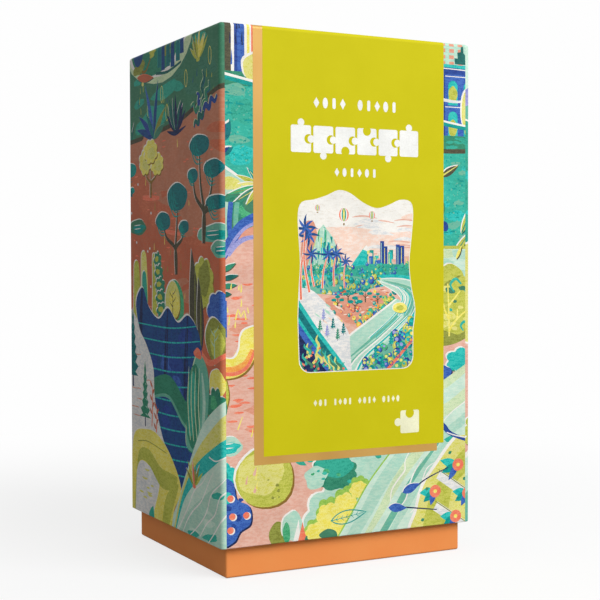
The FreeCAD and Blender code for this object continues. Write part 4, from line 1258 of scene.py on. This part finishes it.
def paint_picture(left, right, bottom, top, border=0.4, seed=0):
    """A small landscape in a shaped white edge: peaks, palms, skyline, river, snow slope and cliff."""
    outline = picture_outline(left, right, bottom, top)
    sheet = Sheet(left, right, bottom, top, "paper")
    sheet.layers[0] = (outline, "paper", 0)
    middle = complex((left + right) / 2, (bottom + top) / 2)
    size, tall = right - left, top - bottom
    inner = [middle + complex((p.real - middle.real) * (1 - 2 * border / size),
                              (p.imag - middle.imag) * (1 - 2 * border / tall)) for p in outline]
    sheet.within = sheet.paint(inner, "paper")
    rng = random.Random(seed)
    unit = size / 65

    def at(x, y):
        return complex(left + size * x, bottom + tall * y)

    def spots(*shares):
        return [at(x, y) for x, y in shares]

    def path(points, steps=5):
        return curve(spots(*points), False, steps)

    def ground(points, ink):
        sheet.paint(path(points) + spots((1.1, -0.1), (-0.1, -0.1)), ink)

    def grow(spot, least, most, ink, over):
        shrub(sheet, spot, rng.uniform(least, most) * unit, ink, over)

    ground([(-0.1, 0.77), (0.4, 0.80), (0.8, 0.77), (1.1, 0.79)], "blush")
    for k in range(26):
        x, y = rng.uniform(0.3, 0.95), rng.uniform(0.62, 0.86)
        streak = spots((x, y), (x + 0.1, y + 0.008), (x + 0.22, y - 0.004))
        sheet.line(streak, ("pink", "snow", "blush")[k % 3], 0.2 * unit, 0.2 * unit, (0.6 + k % 3) * unit, 4)
    for x, y, r in ((0.385, 0.865, 0.042), (0.16, 0.90, 0.020), (0.63, 0.865, 0.026)):
        for share, ink in ((1.0, "coral"), (0.72, "paper"), (0.44, "teal"), (0.18, "yellow")):
            sheet.paint(blob(at(x, y), size * r * share, size * r * 1.2, 3, 0), ink)
        sheet.panel(at(x, y).real - 0.4, at(x, y).real + 0.4, at(x, y).imag - size * r * 1.9,
                    at(x, y).imag - size * r * 1.5, "umber")
    sheet.form(spots((0.02, 0.50), (0.04, 0.78), (0.10, 0.83), (0.15, 0.78), (0.20, 0.50)), "rose")
    peak = sheet.paint(spots((0.02, 0.46), (0.10, 0.64), (0.17, 0.78), (0.21, 0.81),
                             (0.29, 0.74), (0.37, 0.64), (0.46, 0.46)), "mint")
    for k in range(150):
        x, y = rng.uniform(0.04, 0.42), rng.uniform(0.50, 0.81)
        tip = at(x + 0.08 * (x - 0.2), y - rng.uniform(0.03, 0.09))
        sheet.paint(stroke([at(x, y), tip], rng.uniform(0.6, 1.6) * unit, 0.3),
                    ("sage", "teal", "sea", "turquoise", "lime", "pale_mint", "green")[k % 7], peak)
    sheet.line(spots((0.30, 0.73), (0.36, 0.64), (0.43, 0.54)), "pink", 0.5, 1.6 * unit)
    sheet.paint(spots((0.42, 0.56), (0.53, 0.66), (0.58, 0.70), (0.64, 0.64), (0.72, 0.56)), "turquoise")
    sheet.paint(spots((0.58, 0.70), (0.64, 0.64), (0.70, 0.56), (0.60, 0.56)), "lime")
    sheet.paint(spots((0.55, 0.674), (0.58, 0.70), (0.61, 0.672), (0.585, 0.665)), "paper")
    for k in range(30):
        x, rise = 0.58 + 0.43 * rng.random(), rng.uniform(0.03, 0.10) + 0.05 * (k > 24)
        ink = ("teal", "blush", "turquoise", "pink", "royal", "navy")[k // 5]
        sheet.panel(at(x, 0).real, at(x + 0.035, 0).real, at(0, 0.56).imag, at(0, 0.58 + rise).imag, ink)
        sheet.line([at(x + 0.01, 0.58), at(x + 0.01, 0.57 + rise)], ("yellow", "mint")[k % 2], 0.4, 0.3,
                   steps=2)
    ground([(-0.1, 0.56), (0.2, 0.57), (0.45, 0.58), (0.7, 0.595), (1.1, 0.58)], "sea_deep")
    for k in range(110):
        spot = at(rng.uniform(-0.02, 1.02), 0.595 - 0.0008 * k)
        grow(spot, 0.6, 1.2, ("teal", "green", "royal", "sea")[k % 4], ("turquoise", "lime", "sage")[k % 3])
    ground([(-0.1, 0.50), (0.2, 0.535), (0.5, 0.515), (0.8, 0.535), (1.1, 0.51)], "turquoise")
    sheet.form(spots((0.02, 0.45), (0.18, 0.52), (0.36, 0.53), (0.54, 0.52), (0.72, 0.49), (0.60, 0.43),
                     (0.34, 0.42), (0.14, 0.42)), "sage")
    for k in range(130):
        x, y = rng.uniform(0.02, 0.70), rng.uniform(0.42, 0.53)
        if k % 3:
            sheet.paint(leaf(at(x, y), rng.uniform(1.4, 3.2) * unit, 0.8 * unit, rng.uniform(0.8, 2.3), 0, 6),
                        ("royal", "lime_deep", "deep_green", "teal")[k % 4])
        else:
            grow(at(x, y), 0.9, 1.8, ("lime_deep", "teal", "royal", "sea")[k % 4],
                 ("lime", "mint", "turquoise")[k // 3 % 3])
    ground([(-0.1, 0.44), (0.18, 0.43), (0.42, 0.42), (0.66, 0.46), (0.86, 0.47), (1.1, 0.44)], "pink")
    sheet.form(spots((0.22, 0.40), (0.46, 0.41), (0.70, 0.44), (0.78, 0.38), (0.60, 0.28), (0.40, 0.27)),
               "rose")
    for k in range(90):
        x = rng.uniform(0.24, 0.84)
        spot = at(x, rng.uniform(0.27 + 0.2 * max(x - 0.55, 0), 0.45))
        if k % 3:
            furrow = [spot, spot + rng.uniform(1.2, 2.6) * unit]
            sheet.line(furrow, ("coral", "brick", "blush")[k % 3], 0.35, 0.3, 0.3, 2)
        else:
            grow(spot, 0.5, 1.2, ("yellow", "teal", "coral")[k // 3 % 3],
                 ("orange", "mint", "yellow")[k // 3 % 3])
    for x, y, s in ((0.33, 0.35, 5), (0.48, 0.33, 6), (0.57, 0.38, 5.4), (0.42, 0.39, 4.2),
                    (0.68, 0.37, 4.4)):
        foot = at(x, y)
        for reach in (-0.42, 0.0, 0.45):
            tip = foot + unit * s * complex(reach, 0.8 + 0.3 * (reach == 0))
            sheet.line([foot, foot + 0.4j * s * unit, tip], "dark_olive", 0.5, 0.3, steps=3)
            sheet.paint(blob(tip, s * 0.30 * unit, s * 0.15 * unit, 2, 0, count=10), "teal")
    for k in range(64):
        x = rng.uniform(0.0, 1.0)
        spot = at(0.50 + 0.33 * x, 0.23 + 0.20 * x + rng.uniform(-0.03, 0.03))
        grow(spot, 0.8, 1.7, ("lime_deep", "teal", "royal", "orange", "green")[k % 5],
             ("yellow", "turquoise", "lime")[k % 3])
    bank = [(0.70, 0.50), (0.90, 0.46), (0.98, 0.40), (0.92, 0.30), (0.72, 0.18), (0.50, 0.06), (0.40, -0.06)]
    sheet.paint(stroke(path(bank, 6), 2 * unit, 26 * unit, 7 * unit), "paper")
    sheet.paint(stroke(path(bank, 6), 1.4 * unit, 24 * unit, 6.4 * unit), "mint")
    for k in range(20):
        shift = (k - 9.5) * 1.15 * unit
        line = [at(x, y) + shift * (0.2 + 0.8 * i / 6) for i, (x, y) in enumerate(bank)]
        start = rng.randint(0, 3)
        sheet.line(line[start:start + 4], ("paper", "turquoise", "pale_mint", "sage")[k % 4], 0.3, 0.4 * unit,
                   rng.uniform(0.4, 1.4) * unit)
    sheet.lit(blob(at(0.88, 0.345), 4.2 * unit, 2.6 * unit, 4, 0.04), "yellow", "paper", "teal", 0.4)
    sheet.paint(blob(at(0.88, 0.345), 2.2 * unit, 1.3 * unit, 4, 0.04), "lime_deep")
    ground([(0.60, -0.1), (0.62, 0.02), (0.74, 0.12), (0.90, 0.22), (1.1, 0.27)], "sage")
    for k in range(84):
        x = rng.uniform(0.56, 1.02)
        spot = at(x, (0.05 + 0.56 * max(x - 0.56, 0)) * (1 - k / 84))
        grow(spot, 0.9, 2.3, ("royal", "lime_deep", "navy", "teal", "green")[k % 5],
             ("turquoise", "yellow", "lilac", "lime")[k % 4])
    for x, y in ((0.66, 0.05), (0.80, 0.13), (0.93, 0.05), (0.72, 0.0)):
        conifer(sheet, at(x, y), 8 * unit, "teal", "turquoise", int(x * 100), 5, None)
    sheet.line(spots((0.74, -0.02), (0.88, 0.08), (1.02, 0.18)), "coral", 1.7 * unit, 1.3 * unit)
    for k in range(4):
        ring = blob(at(0.80 + 0.06 * k, 0.035 + 0.042 * k), 1.1 * unit, 1.1 * unit, 1, 0, count=10)
        sheet.paint(stroke(ring + ring[:2], 0.4), "navy")
    slope = [(-0.1, 0.46), (0.08, 0.46), (0.20, 0.40), (0.30, 0.32), (0.42, 0.22), (0.44, 0.10), (0.46, -0.1)]
    sheet.paint(path(slope) + [at(-0.1, -0.1)], "snow")
    for k in range(12):
        spot = at(rng.uniform(0.08, 0.34), rng.uniform(0.16, 0.40))
        sheet.line([spot, spot + (3-2j) * unit], ("mint", "blush")[k % 2], 0.3, 0.3, 0.5, 3)
    for k, (x, y) in enumerate(((0.18, 0.22), (0.24, 0.19), (0.29, 0.23), (0.33, 0.17), (0.21, 0.28),
                                (0.38, 0.20))):
        conifer(sheet, at(x, y), 6.4 * unit, ("deep_green", "lilac", "petrol")[k % 3], "mint", k, 5, None)
    cliff = [(-0.1, 0.48), (0.0, 0.40), (0.16, 0.24), (0.34, 0.08), (0.44, -0.02), (0.48, -0.1)]
    for edge, ink in ((0.0, "turquoise"), (-0.016, "petrol"), (-0.040, "turquoise"), (-0.052, "royal"),
                      (-0.075, "night")):
        sheet.paint(path([(x + edge * 1.4, y + edge) for x, y in cliff]) + [at(-0.1, -0.1)], ink)
    for k in range(30):
        x = 0.01 + 0.012 * k
        foot = at(x, rng.uniform(0.0, max(0.26 - 0.85 * x, 0.01)))
        tip = foot + cmath.rect(rng.uniform(4, 8) * unit, rng.uniform(0.9, 2.2))
        wave = [foot, foot + (tip - foot) * 0.35 + 0.8 * unit, foot + (tip - foot) * 0.7 - 0.8 * unit, tip]
        sheet.line(wave, ("lime", "sea", "moss")[k % 3], 1.3 * unit, 0.3, 0.5 * unit, 4)
        sheet.paint(blob(foot + (1.5+1j) * unit, 0.6 * unit, 0.6 * unit, 1, 0, count=8), "coral")
    for x, y, lean, s in ((0.02, 0.40, 0.06, 11), (0.09, 0.44, -0.03, 11), (0.20, 0.46, 0.05, 9),
                          (0.30, 0.47, 0.02, 8.5), (0.13, 0.47, -0.02, 8.5), (0.39, 0.46, 0.01, 7)):
        crown = at(x + lean, y + 0.021 * s + (0.12 if x < 0.1 else 0))
        small_palm(sheet, at(x, y), crown, s * unit, ("ink_blue", "royal"))
    return sheet


# ------------ papers, boards and foil
def paper_stock(name, base, other, fibre=(1, 1, 1), patch_mm=9.0, fleck=None, roughness=0.75, relief=0.02,
                gloss=0.3):
    """Paper or board: two close tones in soft clouds, fibres along the sheet and, if given, flecks."""
    material, shader = new_material(name)
    soft = clouds(material, patch_mm, fibre, 4.0, 0.6)
    share = add(material, "MapRange", SMOOTH, Value=soft, From_Min=0.35, From_Max=0.65).outputs[0]
    colour = add(material, "Mix", COLOURS, i0=share, i6=linear(base), i7=linear(other)).outputs[2]
    if fleck:
        spots = clouds(material, 0.9, fibre, 2.0)
        share = add(material, "MapRange", SMOOTH, Value=spots, From_Min=0.66, From_Max=0.72,
                    To_Max=0.8).outputs[0]
        colour = add(material, "Mix", COLOURS, i0=share, i6=colour, i7=linear(fleck)).outputs[2]
    fibres = clouds(material, 0.6, fibre, 3.0, 0.65)
    fit(material, shader, Base_Color=colour, Roughness=roughness, Specular_IOR_Level=gloss,
        Normal=add(material, "Bump", Strength=0.7, Distance=relief * MM, Height=fibres).outputs[0])
    return material


def gilt_foil():
    """Hot-stamped gilt foil: a satin metal skin, near even in tone, that takes up the grain of the paper."""
    material, shader = new_material("gilt_foil")
    soft = clouds(material, 45.0, detail=2.0)
    share = add(material, "MapRange", SMOOTH, Value=soft, From_Min=0.3, From_Max=0.7).outputs[0]
    colour = add(material, "Mix", COLOURS, i0=share, i6=linear("#CC9B4B"), i7=linear("#DAAB5B")).outputs[2]
    paper = clouds(material, 0.9, detail=2.0)
    satin = add(material, "MapRange", SMOOTH, Value=paper, From_Min=0.3, From_Max=0.7, To_Min=0.42,
                To_Max=0.5).outputs[0]
    fit(material, shader, Base_Color=colour, Metallic=0.25, Roughness=satin,
        Normal=add(material, "Bump", Strength=0.5, Distance=0.01 * MM, Height=paper).outputs[0])
    return material


def wrap_inside():
    """The lid's printed paper where it turns in at the rim: the same inks, met as bands of colour."""
    material, shader = new_material("turned_in_print")
    bands = clouds(material, 11.0, (1, 1, 2.5), 2.0, 0.5)
    colour = linear("#2F8F7A")
    for low, ink in ((0.42, "#9FB54A"), (0.52, "#EBB9A2"), (0.60, "#F0EBE2")):
        share = add(material, "MapRange", SMOOTH, Value=bands, From_Min=low, From_Max=low + 0.01).outputs[0]
        colour = add(material, "Mix", COLOURS, i0=share, i6=colour, i7=linear(ink)).outputs[2]
    fit(material, shader, Base_Color=colour, Roughness=0.5)
    film_relief(material, shader)
    return material


def dress(material, *nodes):
    """Puts a material on CAD nodes whose shapes stay as they are."""
    for name in nodes:
        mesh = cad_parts[name].data
        mesh.materials.clear()
        mesh.materials.append(material)


# ------------ the bag, the loose pieces and the guide
def use_only(piece):
    bpy.ops.object.select_all(action="DESELECT")
    piece.select_set(True)
    bpy.context.view_layer.objects.active = piece


def apply_modifiers(piece):
    use_only(piece)
    for modifier in list(piece.modifiers):
        bpy.ops.object.modifier_apply(modifier=modifier.name)


def clear_film():
    """Thin clear polypropylene: nearly invisible where it's flat, with a faint milky veil over all and
    painted highlights along its creases as whiter, more opaque lines.
    """
    material, shader = new_material("clear_polypropylene_film")
    creases = add(material, "TexVoronoi", {"feature": "DISTANCE_TO_EDGE"}, Scale=1.0,
                  Vector=in_mm(material, 16.0, (1, 1, 1.6))).outputs["Distance"]
    line = add(material, "MapRange", SMOOTH, Value=creases, From_Max=0.16, To_Min=1.0, To_Max=0.0).outputs[0]
    cloud = add(material, "MapRange", SMOOTH, Value=clouds(material, 22.0), From_Min=0.35,
                From_Max=0.7).outputs[0]
    # painted highlight: the alpha rises along the crease lines, so the whitish film shows there as glints,
    # over a faint even veil
    veil_and_crease_glint = add(material, "Math", {"operation": "MULTIPLY_ADD"}, i0=line, i1=cloud, i2=0.14).outputs[0]
    colour = add(material, "Mix", COLOURS, i0=cloud, i6=linear("#EEF2F4"), i7=linear("#FAFBFB")).outputs[2]
    fit(material, shader, Base_Color=colour, Coat_Weight=0.6,
        Alpha=add(material, "MapRange", SMOOTH, Value=veil_and_crease_glint, To_Min=0.08, To_Max=0.62).outputs[0],
        Roughness=add(material, "MapRange", SMOOTH, Value=cloud, To_Min=0.08, To_Max=0.22).outputs[0],
        Normal=add(material, "Bump", Strength=0.8, Distance=0.5 * MM, Height=line).outputs[0])
    return material


def make_bag(film):
    """A pillow of film round the pieces, crumpled inwards, with a crimped seal lying on its head."""
    low, high = corners("bag_film")
    middle, size = (low + high) / 2 * MM, (high - low) * MM
    bpy.ops.mesh.primitive_cube_add(size=1, location=middle - Vector((0, 0, 0.5 * MM)))
    bag = bpy.context.object
    bag.name = "crumpled_bag"
    bag.scale = size - Vector((0.4, 0.4, 1.4)) * MM
    bpy.ops.object.transform_apply(location=True, rotation=True, scale=True)
    for name, kind, settings in (
            ("corner", "BEVEL", {"width": 7 * MM, "segments": 4}),
            ("even_mesh", "REMESH", {"mode": "VOXEL", "voxel_size": 2.2 * MM}),
            ("slack", "DISPLACE", {"texture": crumple("slack", "CLOUDS", 34), "strength": -5.0 * MM}),
            ("creases", "DISPLACE", {"texture": crumple("creases", "VORONOI", 15), "strength": -2.6 * MM})):
        modifier = bag.modifiers.new(name, kind)
        for key, value in settings.items():
            setattr(modifier, key, value)
        if kind == "DISPLACE":
            modifier.mid_level = 0.0
    apply_modifiers(bag)
    bag.data.materials.append(film)
    bpy.ops.mesh.primitive_grid_add(x_subdivisions=96, y_subdivisions=8, size=1)
    seal = bpy.context.object
    seal.name = "bag_seal"
    seal.scale = (size.x * 0.86, 11 * MM, 1)
    bpy.ops.object.transform_apply(location=True, rotation=True, scale=True)
    for vertex in seal.data.vertices:
        x, y = vertex.co.x / MM, vertex.co.y / MM
        lift = 0.16 * math.cos(TAU * y / 2.2) + 0.5 * math.sin(x / 9.0) + 0.25 * math.sin(x / 3.7 + y)
        vertex.co = Vector((x, y + 3.0 * math.sin(x / 26.0) + (low.y + high.y) / 2, high.z - 1.3 + lift)) * MM
    seal.data.materials.append(film)
    for piece in (bag, seal):
        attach(piece, "puzzle_bag")
        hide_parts("bag_film")


def crumple(name, kind, scale_mm):
    """Relief for crumpling the film, with patches of that size."""
    relief = bpy.data.textures.new(name, kind)
    relief.noise_scale = scale_mm * MM
    return relief


PIECE = 17.2               # side of a jigsaw piece without its knobs
PIECE_THICK = 1.8
KNOB = 2.5
NECK = 3.2


def piece_mesh(sides):
    """One die-cut piece, lying flat with its middle at the origin: its vertices in mm and its faces."""
    outline = jigsaw_outline(0j, PIECE, PIECE, sides, KNOB, NECK, 5)
    bpy.ops.mesh.primitive_circle_add(vertices=len(outline), radius=1, fill_type="NGON")
    piece = bpy.context.object
    for vertex, point in zip(piece.data.vertices, outline):
        vertex.co = Vector((point.real, point.imag, -PIECE_THICK / 2))
    bpy.ops.object.mode_set(mode="EDIT")
    bpy.ops.mesh.select_all(action="SELECT")
    bpy.ops.mesh.extrude_region_move(TRANSFORM_OT_translate={"value": (0, 0, PIECE_THICK)})
    bpy.ops.mesh.select_all(action="SELECT")
    bpy.ops.mesh.normals_make_consistent(inside=False)
    bpy.ops.object.mode_set(mode="OBJECT")
    verts = [vertex.co.copy() for vertex in piece.data.vertices]
    faces = [(tuple(polygon.vertices), polygon.normal.z > 0.5) for polygon in piece.data.polygons]
    mesh = piece.data
    bpy.data.objects.remove(piece)
    bpy.data.meshes.remove(mesh)
    return verts, faces


PILE_COLUMNS = (6, 4)
PILE_LAYERS = 42
PILE_MARGIN = 5.5          # from the bag's box to the nearest piece
SHIFT = 0.25               # how far a piece strays, as a share of its room
TIP = 0.16                 # how far it tips, in radians
TURNED_OVER = 0.3          # share of the pieces that lie face down


def make_pieces(board):
    """The thousand loose pieces, each turned and tipped its own way in the pile."""
    low, high = corners("bag_film")
    floor, roof = corners("jigsaw_inner_pieces")[0].z, corners("jigsaw_inner_pieces")[1].z
    rng = random.Random(12)
    templates = {
        "jigsaw_inner_pieces": [piece_mesh(s) for s in ((1, -1, 1, -1), (1, 1, -1, -1), (-1, 1, 1, 1))],
        "jigsaw_edge_pieces": [piece_mesh(s) for s in ((0, 1, -1, 1), (0, -1, 1, -1))],
    }
    order = ["jigsaw_edge_pieces"] * 124 + ["jigsaw_inner_pieces"] * 876
    rng.shuffle(order)
    build = {name: ([], [], []) for name in templates}
    inks = [ink for ink in INKS if ink not in ("paper", "night", "dark_olive")]
    room_low = Vector((low.x + PILE_MARGIN, low.y + PILE_MARGIN, floor))
    room_high = Vector((high.x - PILE_MARGIN, high.y - PILE_MARGIN, roof))
    for number, name in enumerate(order):
        layer, slot = divmod(number, PILE_COLUMNS[0] * PILE_COLUMNS[1])
        column, row = slot % PILE_COLUMNS[0], slot // PILE_COLUMNS[0]
        share = Vector(((column + 0.5 + rng.uniform(-SHIFT, SHIFT)) / PILE_COLUMNS[0],
                        (row + 0.5 + rng.uniform(-SHIFT, SHIFT)) / PILE_COLUMNS[1],
                        (layer + 0.5) / PILE_LAYERS))
        spot = room_low + Vector(a * b for a, b in zip(share, room_high - room_low))
        tip = Matrix.Rotation(rng.uniform(-TIP, TIP), 4, "X") @ Matrix.Rotation(rng.uniform(-TIP, TIP), 4,
                                                                                "Y")
        over = Matrix.Rotation(math.pi if rng.random() < TURNED_OVER else 0.0, 4, "X")
        pose = Matrix.Translation(spot) @ tip @ Matrix.Rotation(rng.uniform(0, TAU), 4, "Z") @ over
        verts, faces = rng.choice(templates[name])
        placed = [pose @ vertex for vertex in verts]
        for axis in range(3):
            under = room_low[axis] - min(vertex[axis] for vertex in placed)
            past = max(vertex[axis] for vertex in placed) - room_high[axis]
            push = max(under, 0) - max(past, 0)
            for vertex in placed:
                vertex[axis] += push
        ink = rng.choice(inks)
        points, polygons, tones = build[name]
        for face, printed in faces:
            polygons.append([i + len(points) for i in face])
            tones.append(ink if printed else None)
        points += [vertex * MM for vertex in placed]
    for name, (points, polygons, tones) in build.items():
        mesh = bpy.data.meshes.new(name + "_visual")
        mesh.from_pydata(points, [], polygons)
        set_inks(mesh, [tone or "paper" for tone in tones])
        piece = object_from("loose_" + name.split("_")[1] + "_pieces", mesh, "puzzle_bag", "puzzle_board",
                            PRINT, board)
        mesh.polygons.foreach_set("material_index", [0 if tone else 1 for tone in tones])
        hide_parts(name)


GUIDE_LEAVES = 4
LEAF_THICK = 0.22
GUIDE_EDGE = 5.0           # plain margin round the guide's picture


def make_guide(paper):
    """The picture guide: one sheet folded into four leaves that spring apart a little."""
    low, high = corners("picture_guide")
    gap = (high.y - low.y - LEAF_THICK - 0.16) / (GUIDE_LEAVES - 1)
    path = []
    for leaf_number in range(GUIDE_LEAVES):
        y = low.y + 0.08 + LEAF_THICK / 2 + gap * leaf_number
        reach = high.x - gap / 2 - 0.3
        xs = [-reach + 2 * reach * k / 14 for k in range(15)]
        if leaf_number % 2:
            xs.reverse()
        path += [(x, y) for x in xs]
        if leaf_number < GUIDE_LEAVES - 1:
            side = 1 if leaf_number % 2 == 0 else -1
            path += [(side * (reach + gap / 2 * math.cos(t)), y + gap / 2 + gap / 2 * math.sin(t))
                     for t in (-0.9, -0.3, 0.3, 0.9)]
    rows = 9
    points = [Vector((x, y, low.z + (high.z - low.z) * k / (rows - 1))) * MM
              for k in range(rows) for x, y in path]
    wide = len(path)
    faces = [(k * wide + i, k * wide + i + 1, (k + 1) * wide + i + 1, (k + 1) * wide + i)
             for k in range(rows - 1) for i in range(wide - 1)]
    mesh = bpy.data.meshes.new("folded_guide")
    mesh.from_pydata(points, [], faces)
    guide = object_from("folded_guide", mesh, "guide", "guide_print", paper)
    body = guide.modifiers.new("paper", "SOLIDIFY")
    body.thickness = LEAF_THICK * MM
    body.offset = 0
    apply_modifiers(guide)
    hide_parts("picture_guide")
    for name, seed, y, sign in (("guide_front", 11, low.y + 0.03, 1), ("guide_back", 12, high.y - 0.03, -1)):
        sheet = paint_picture(low.x + GUIDE_EDGE, high.x - GUIDE_EDGE, low.z + GUIDE_EDGE,
                              high.z - GUIDE_EDGE, seed=seed)
        piece = print_sheet(name, sheet, lambda x, z, y=y, sign=sign: Vector((sign * x, y, z)), "guide",
                            "guide_print")
        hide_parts("picture_guide")


# ------------ studio
SKY = 0.49                 # brightness of the room round the box
KEY_POWER = 29.0           # watts
KEY_FROM = Vector((0.32, -0.72, 0.56)).normalized()
KEY_AWAY = 1.8             # metres from the middle of the box
KEY_SIZE = (1.3, 1.0)      # metres
BOX_MIDDLE = Vector((0, 0, 0.13))
EYE = Vector((-312.9, -601.0, 147.3))          # the camera's place in mm
EYE_TURN, EYE_DIP, EYE_ROLL = (math.radians(a) for a in (-27.74, 1.54, -0.158))
LENS = 76.7                # mm, on a 36 mm sensor


def studio():
    """A pale floor that runs into a white backdrop, a dim room and one large soft light from the front."""
    bpy.ops.mesh.primitive_circle_add(vertices=96, radius=9.0, fill_type="NGON")
    floor = bpy.context.object
    floor.name = "floor"
    material, shader = new_material("studio_floor")
    seen = add(material, "LightPath").outputs["Is Camera Ray"]
    shade = add(material, "MapRange", SMOOTH, Value=clouds(material, 400.0), From_Min=0.3,
                From_Max=0.7).outputs[0]
    pale = add(material, "Mix", COLOURS, i0=shade, i6=linear("#F4F4F4"), i7=linear("#F8F8F8")).outputs[2]
    bounce = add(material, "Mix", COLOURS, i0=seen, i6=linear("#8C8C8C"), i7=pale).outputs[2]
    fit(material, shader, Base_Color=bounce, Roughness=0.7, Specular_IOR_Level=0.1)
    place = add(material, "TexCoord").outputs["Object"]
    away = add(material, "VectorMath", {"operation": "LENGTH"}, i0=place).outputs["Value"]
    far = add(material, "MapRange", SMOOTH, Value=away, From_Min=0.12, From_Max=0.5, To_Min=0.76).outputs[0]
    share = add(material, "Math", {"operation": "MULTIPLY"}, i0=far, i1=seen).outputs[0]
    glow = add(material, "Emission", Color=linear("#FEFEFE")).outputs[0]
    blend = add(material, "MixShader", i0=share, i1=shader.outputs[0], i2=glow).outputs[0]
    fit(material, material.node_tree.nodes["Material Output"], Surface=blend)
    floor.data.materials.append(material)
    floor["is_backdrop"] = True

    world = bpy.data.worlds.new("studio")
    world.use_nodes = True
    bpy.context.scene.world = world
    seen = add(world, "LightPath").outputs["Is Camera Ray"]
    tone = add(world, "Mix", COLOURS, i0=seen, i6=(SKY, SKY, SKY, 1), i7=linear("#FEFEFE")).outputs[2]
    fit(world, world.node_tree.nodes["Background"], Color=tone)

    light = bpy.data.lights.new("softbox", "AREA")
    light.shape = "RECTANGLE"
    light.size, light.size_y = KEY_SIZE
    light.energy = KEY_POWER
    key = bpy.data.objects.new("softbox", light)
    bpy.context.scene.collection.objects.link(key)
    key.location = KEY_FROM * KEY_AWAY + BOX_MIDDLE
    key.rotation_euler = KEY_FROM.to_track_quat("Z", "Y").to_euler()


def camera():
    """A short telephoto view from the front left, a little above the middle of the box."""
    lens = bpy.data.cameras.new("camera")
    lens.lens = LENS
    lens.sensor_width = 36.0
    lens.dof.use_dof = False
    eye = bpy.data.objects.new("camera", lens)
    bpy.context.scene.collection.objects.link(eye)
    level = math.cos(EYE_DIP)
    forward = Vector((-math.sin(EYE_TURN) * level, math.cos(EYE_TURN) * level, -math.sin(EYE_DIP)))
    eye.matrix_world = (Matrix.Translation(EYE * MM)
                        @ forward.to_track_quat("-Z", "Y").to_matrix().to_4x4()
                        @ Matrix.Rotation(EYE_ROLL, 4, "Z"))
    bpy.context.scene.camera = eye


# ------------ putting it together
lime = paper_stock("lime_label_stock", "#CBC20B", "#CEC50F", patch_mm=30.0, roughness=0.65, relief=0.008,
                   gloss=0.12)
dress(paper_stock("greyboard", "#9A938A", "#A8A196", fleck="#6E665C", relief=0.05), "lid_board", "tray_board")
dress(paper_stock("gummed_kraft", "#B08A5E", "#BE9A6C", (1, 1, 5), 5.0, "#8A6840"), "lid_corner_stays",
      "tray_corner_stays")
dress(paper_stock("white_lining_paper", "#F1EEE8", "#E9E6DF", relief=0.03), "lid_liner", "tray_liner")
dress(paper_stock("orange_wrapping_paper", "#F3934C", "#F49750", patch_mm=30.0, roughness=0.6), "tray_wrap",
      "tray_under_sheet")
dress(wrap_inside(), "lid_wrap")
dress(gilt_foil(), "foil_border")
make_prints()
make_label(lime)
make_bag(clear_film())
make_pieces(paper_stock("blue_grey_puzzle_board", "#93A3AE", "#A3B1BA", patch_mm=6.0, fleck="#7C8C98",
                        relief=0.04))
make_guide(paper_stock("uncoated_guide_paper", "#F3F0EA", "#ECE8E0", relief=0.02))
studio()
camera()
bpy.context.scene.view_settings.view_transform = "Standard"


def plain(bounds):
    """Bounds as lists that JSON can hold."""
    if isinstance(bounds, dict):
        return {key: plain(value) for key, value in bounds.items()}
    if isinstance(bounds, (int, float, str)) or bounds is None:
        return bounds
    return [plain(value) for value in bounds]


{"cad": plain(CAD_BOUNDS), "visual": plain(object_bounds())}
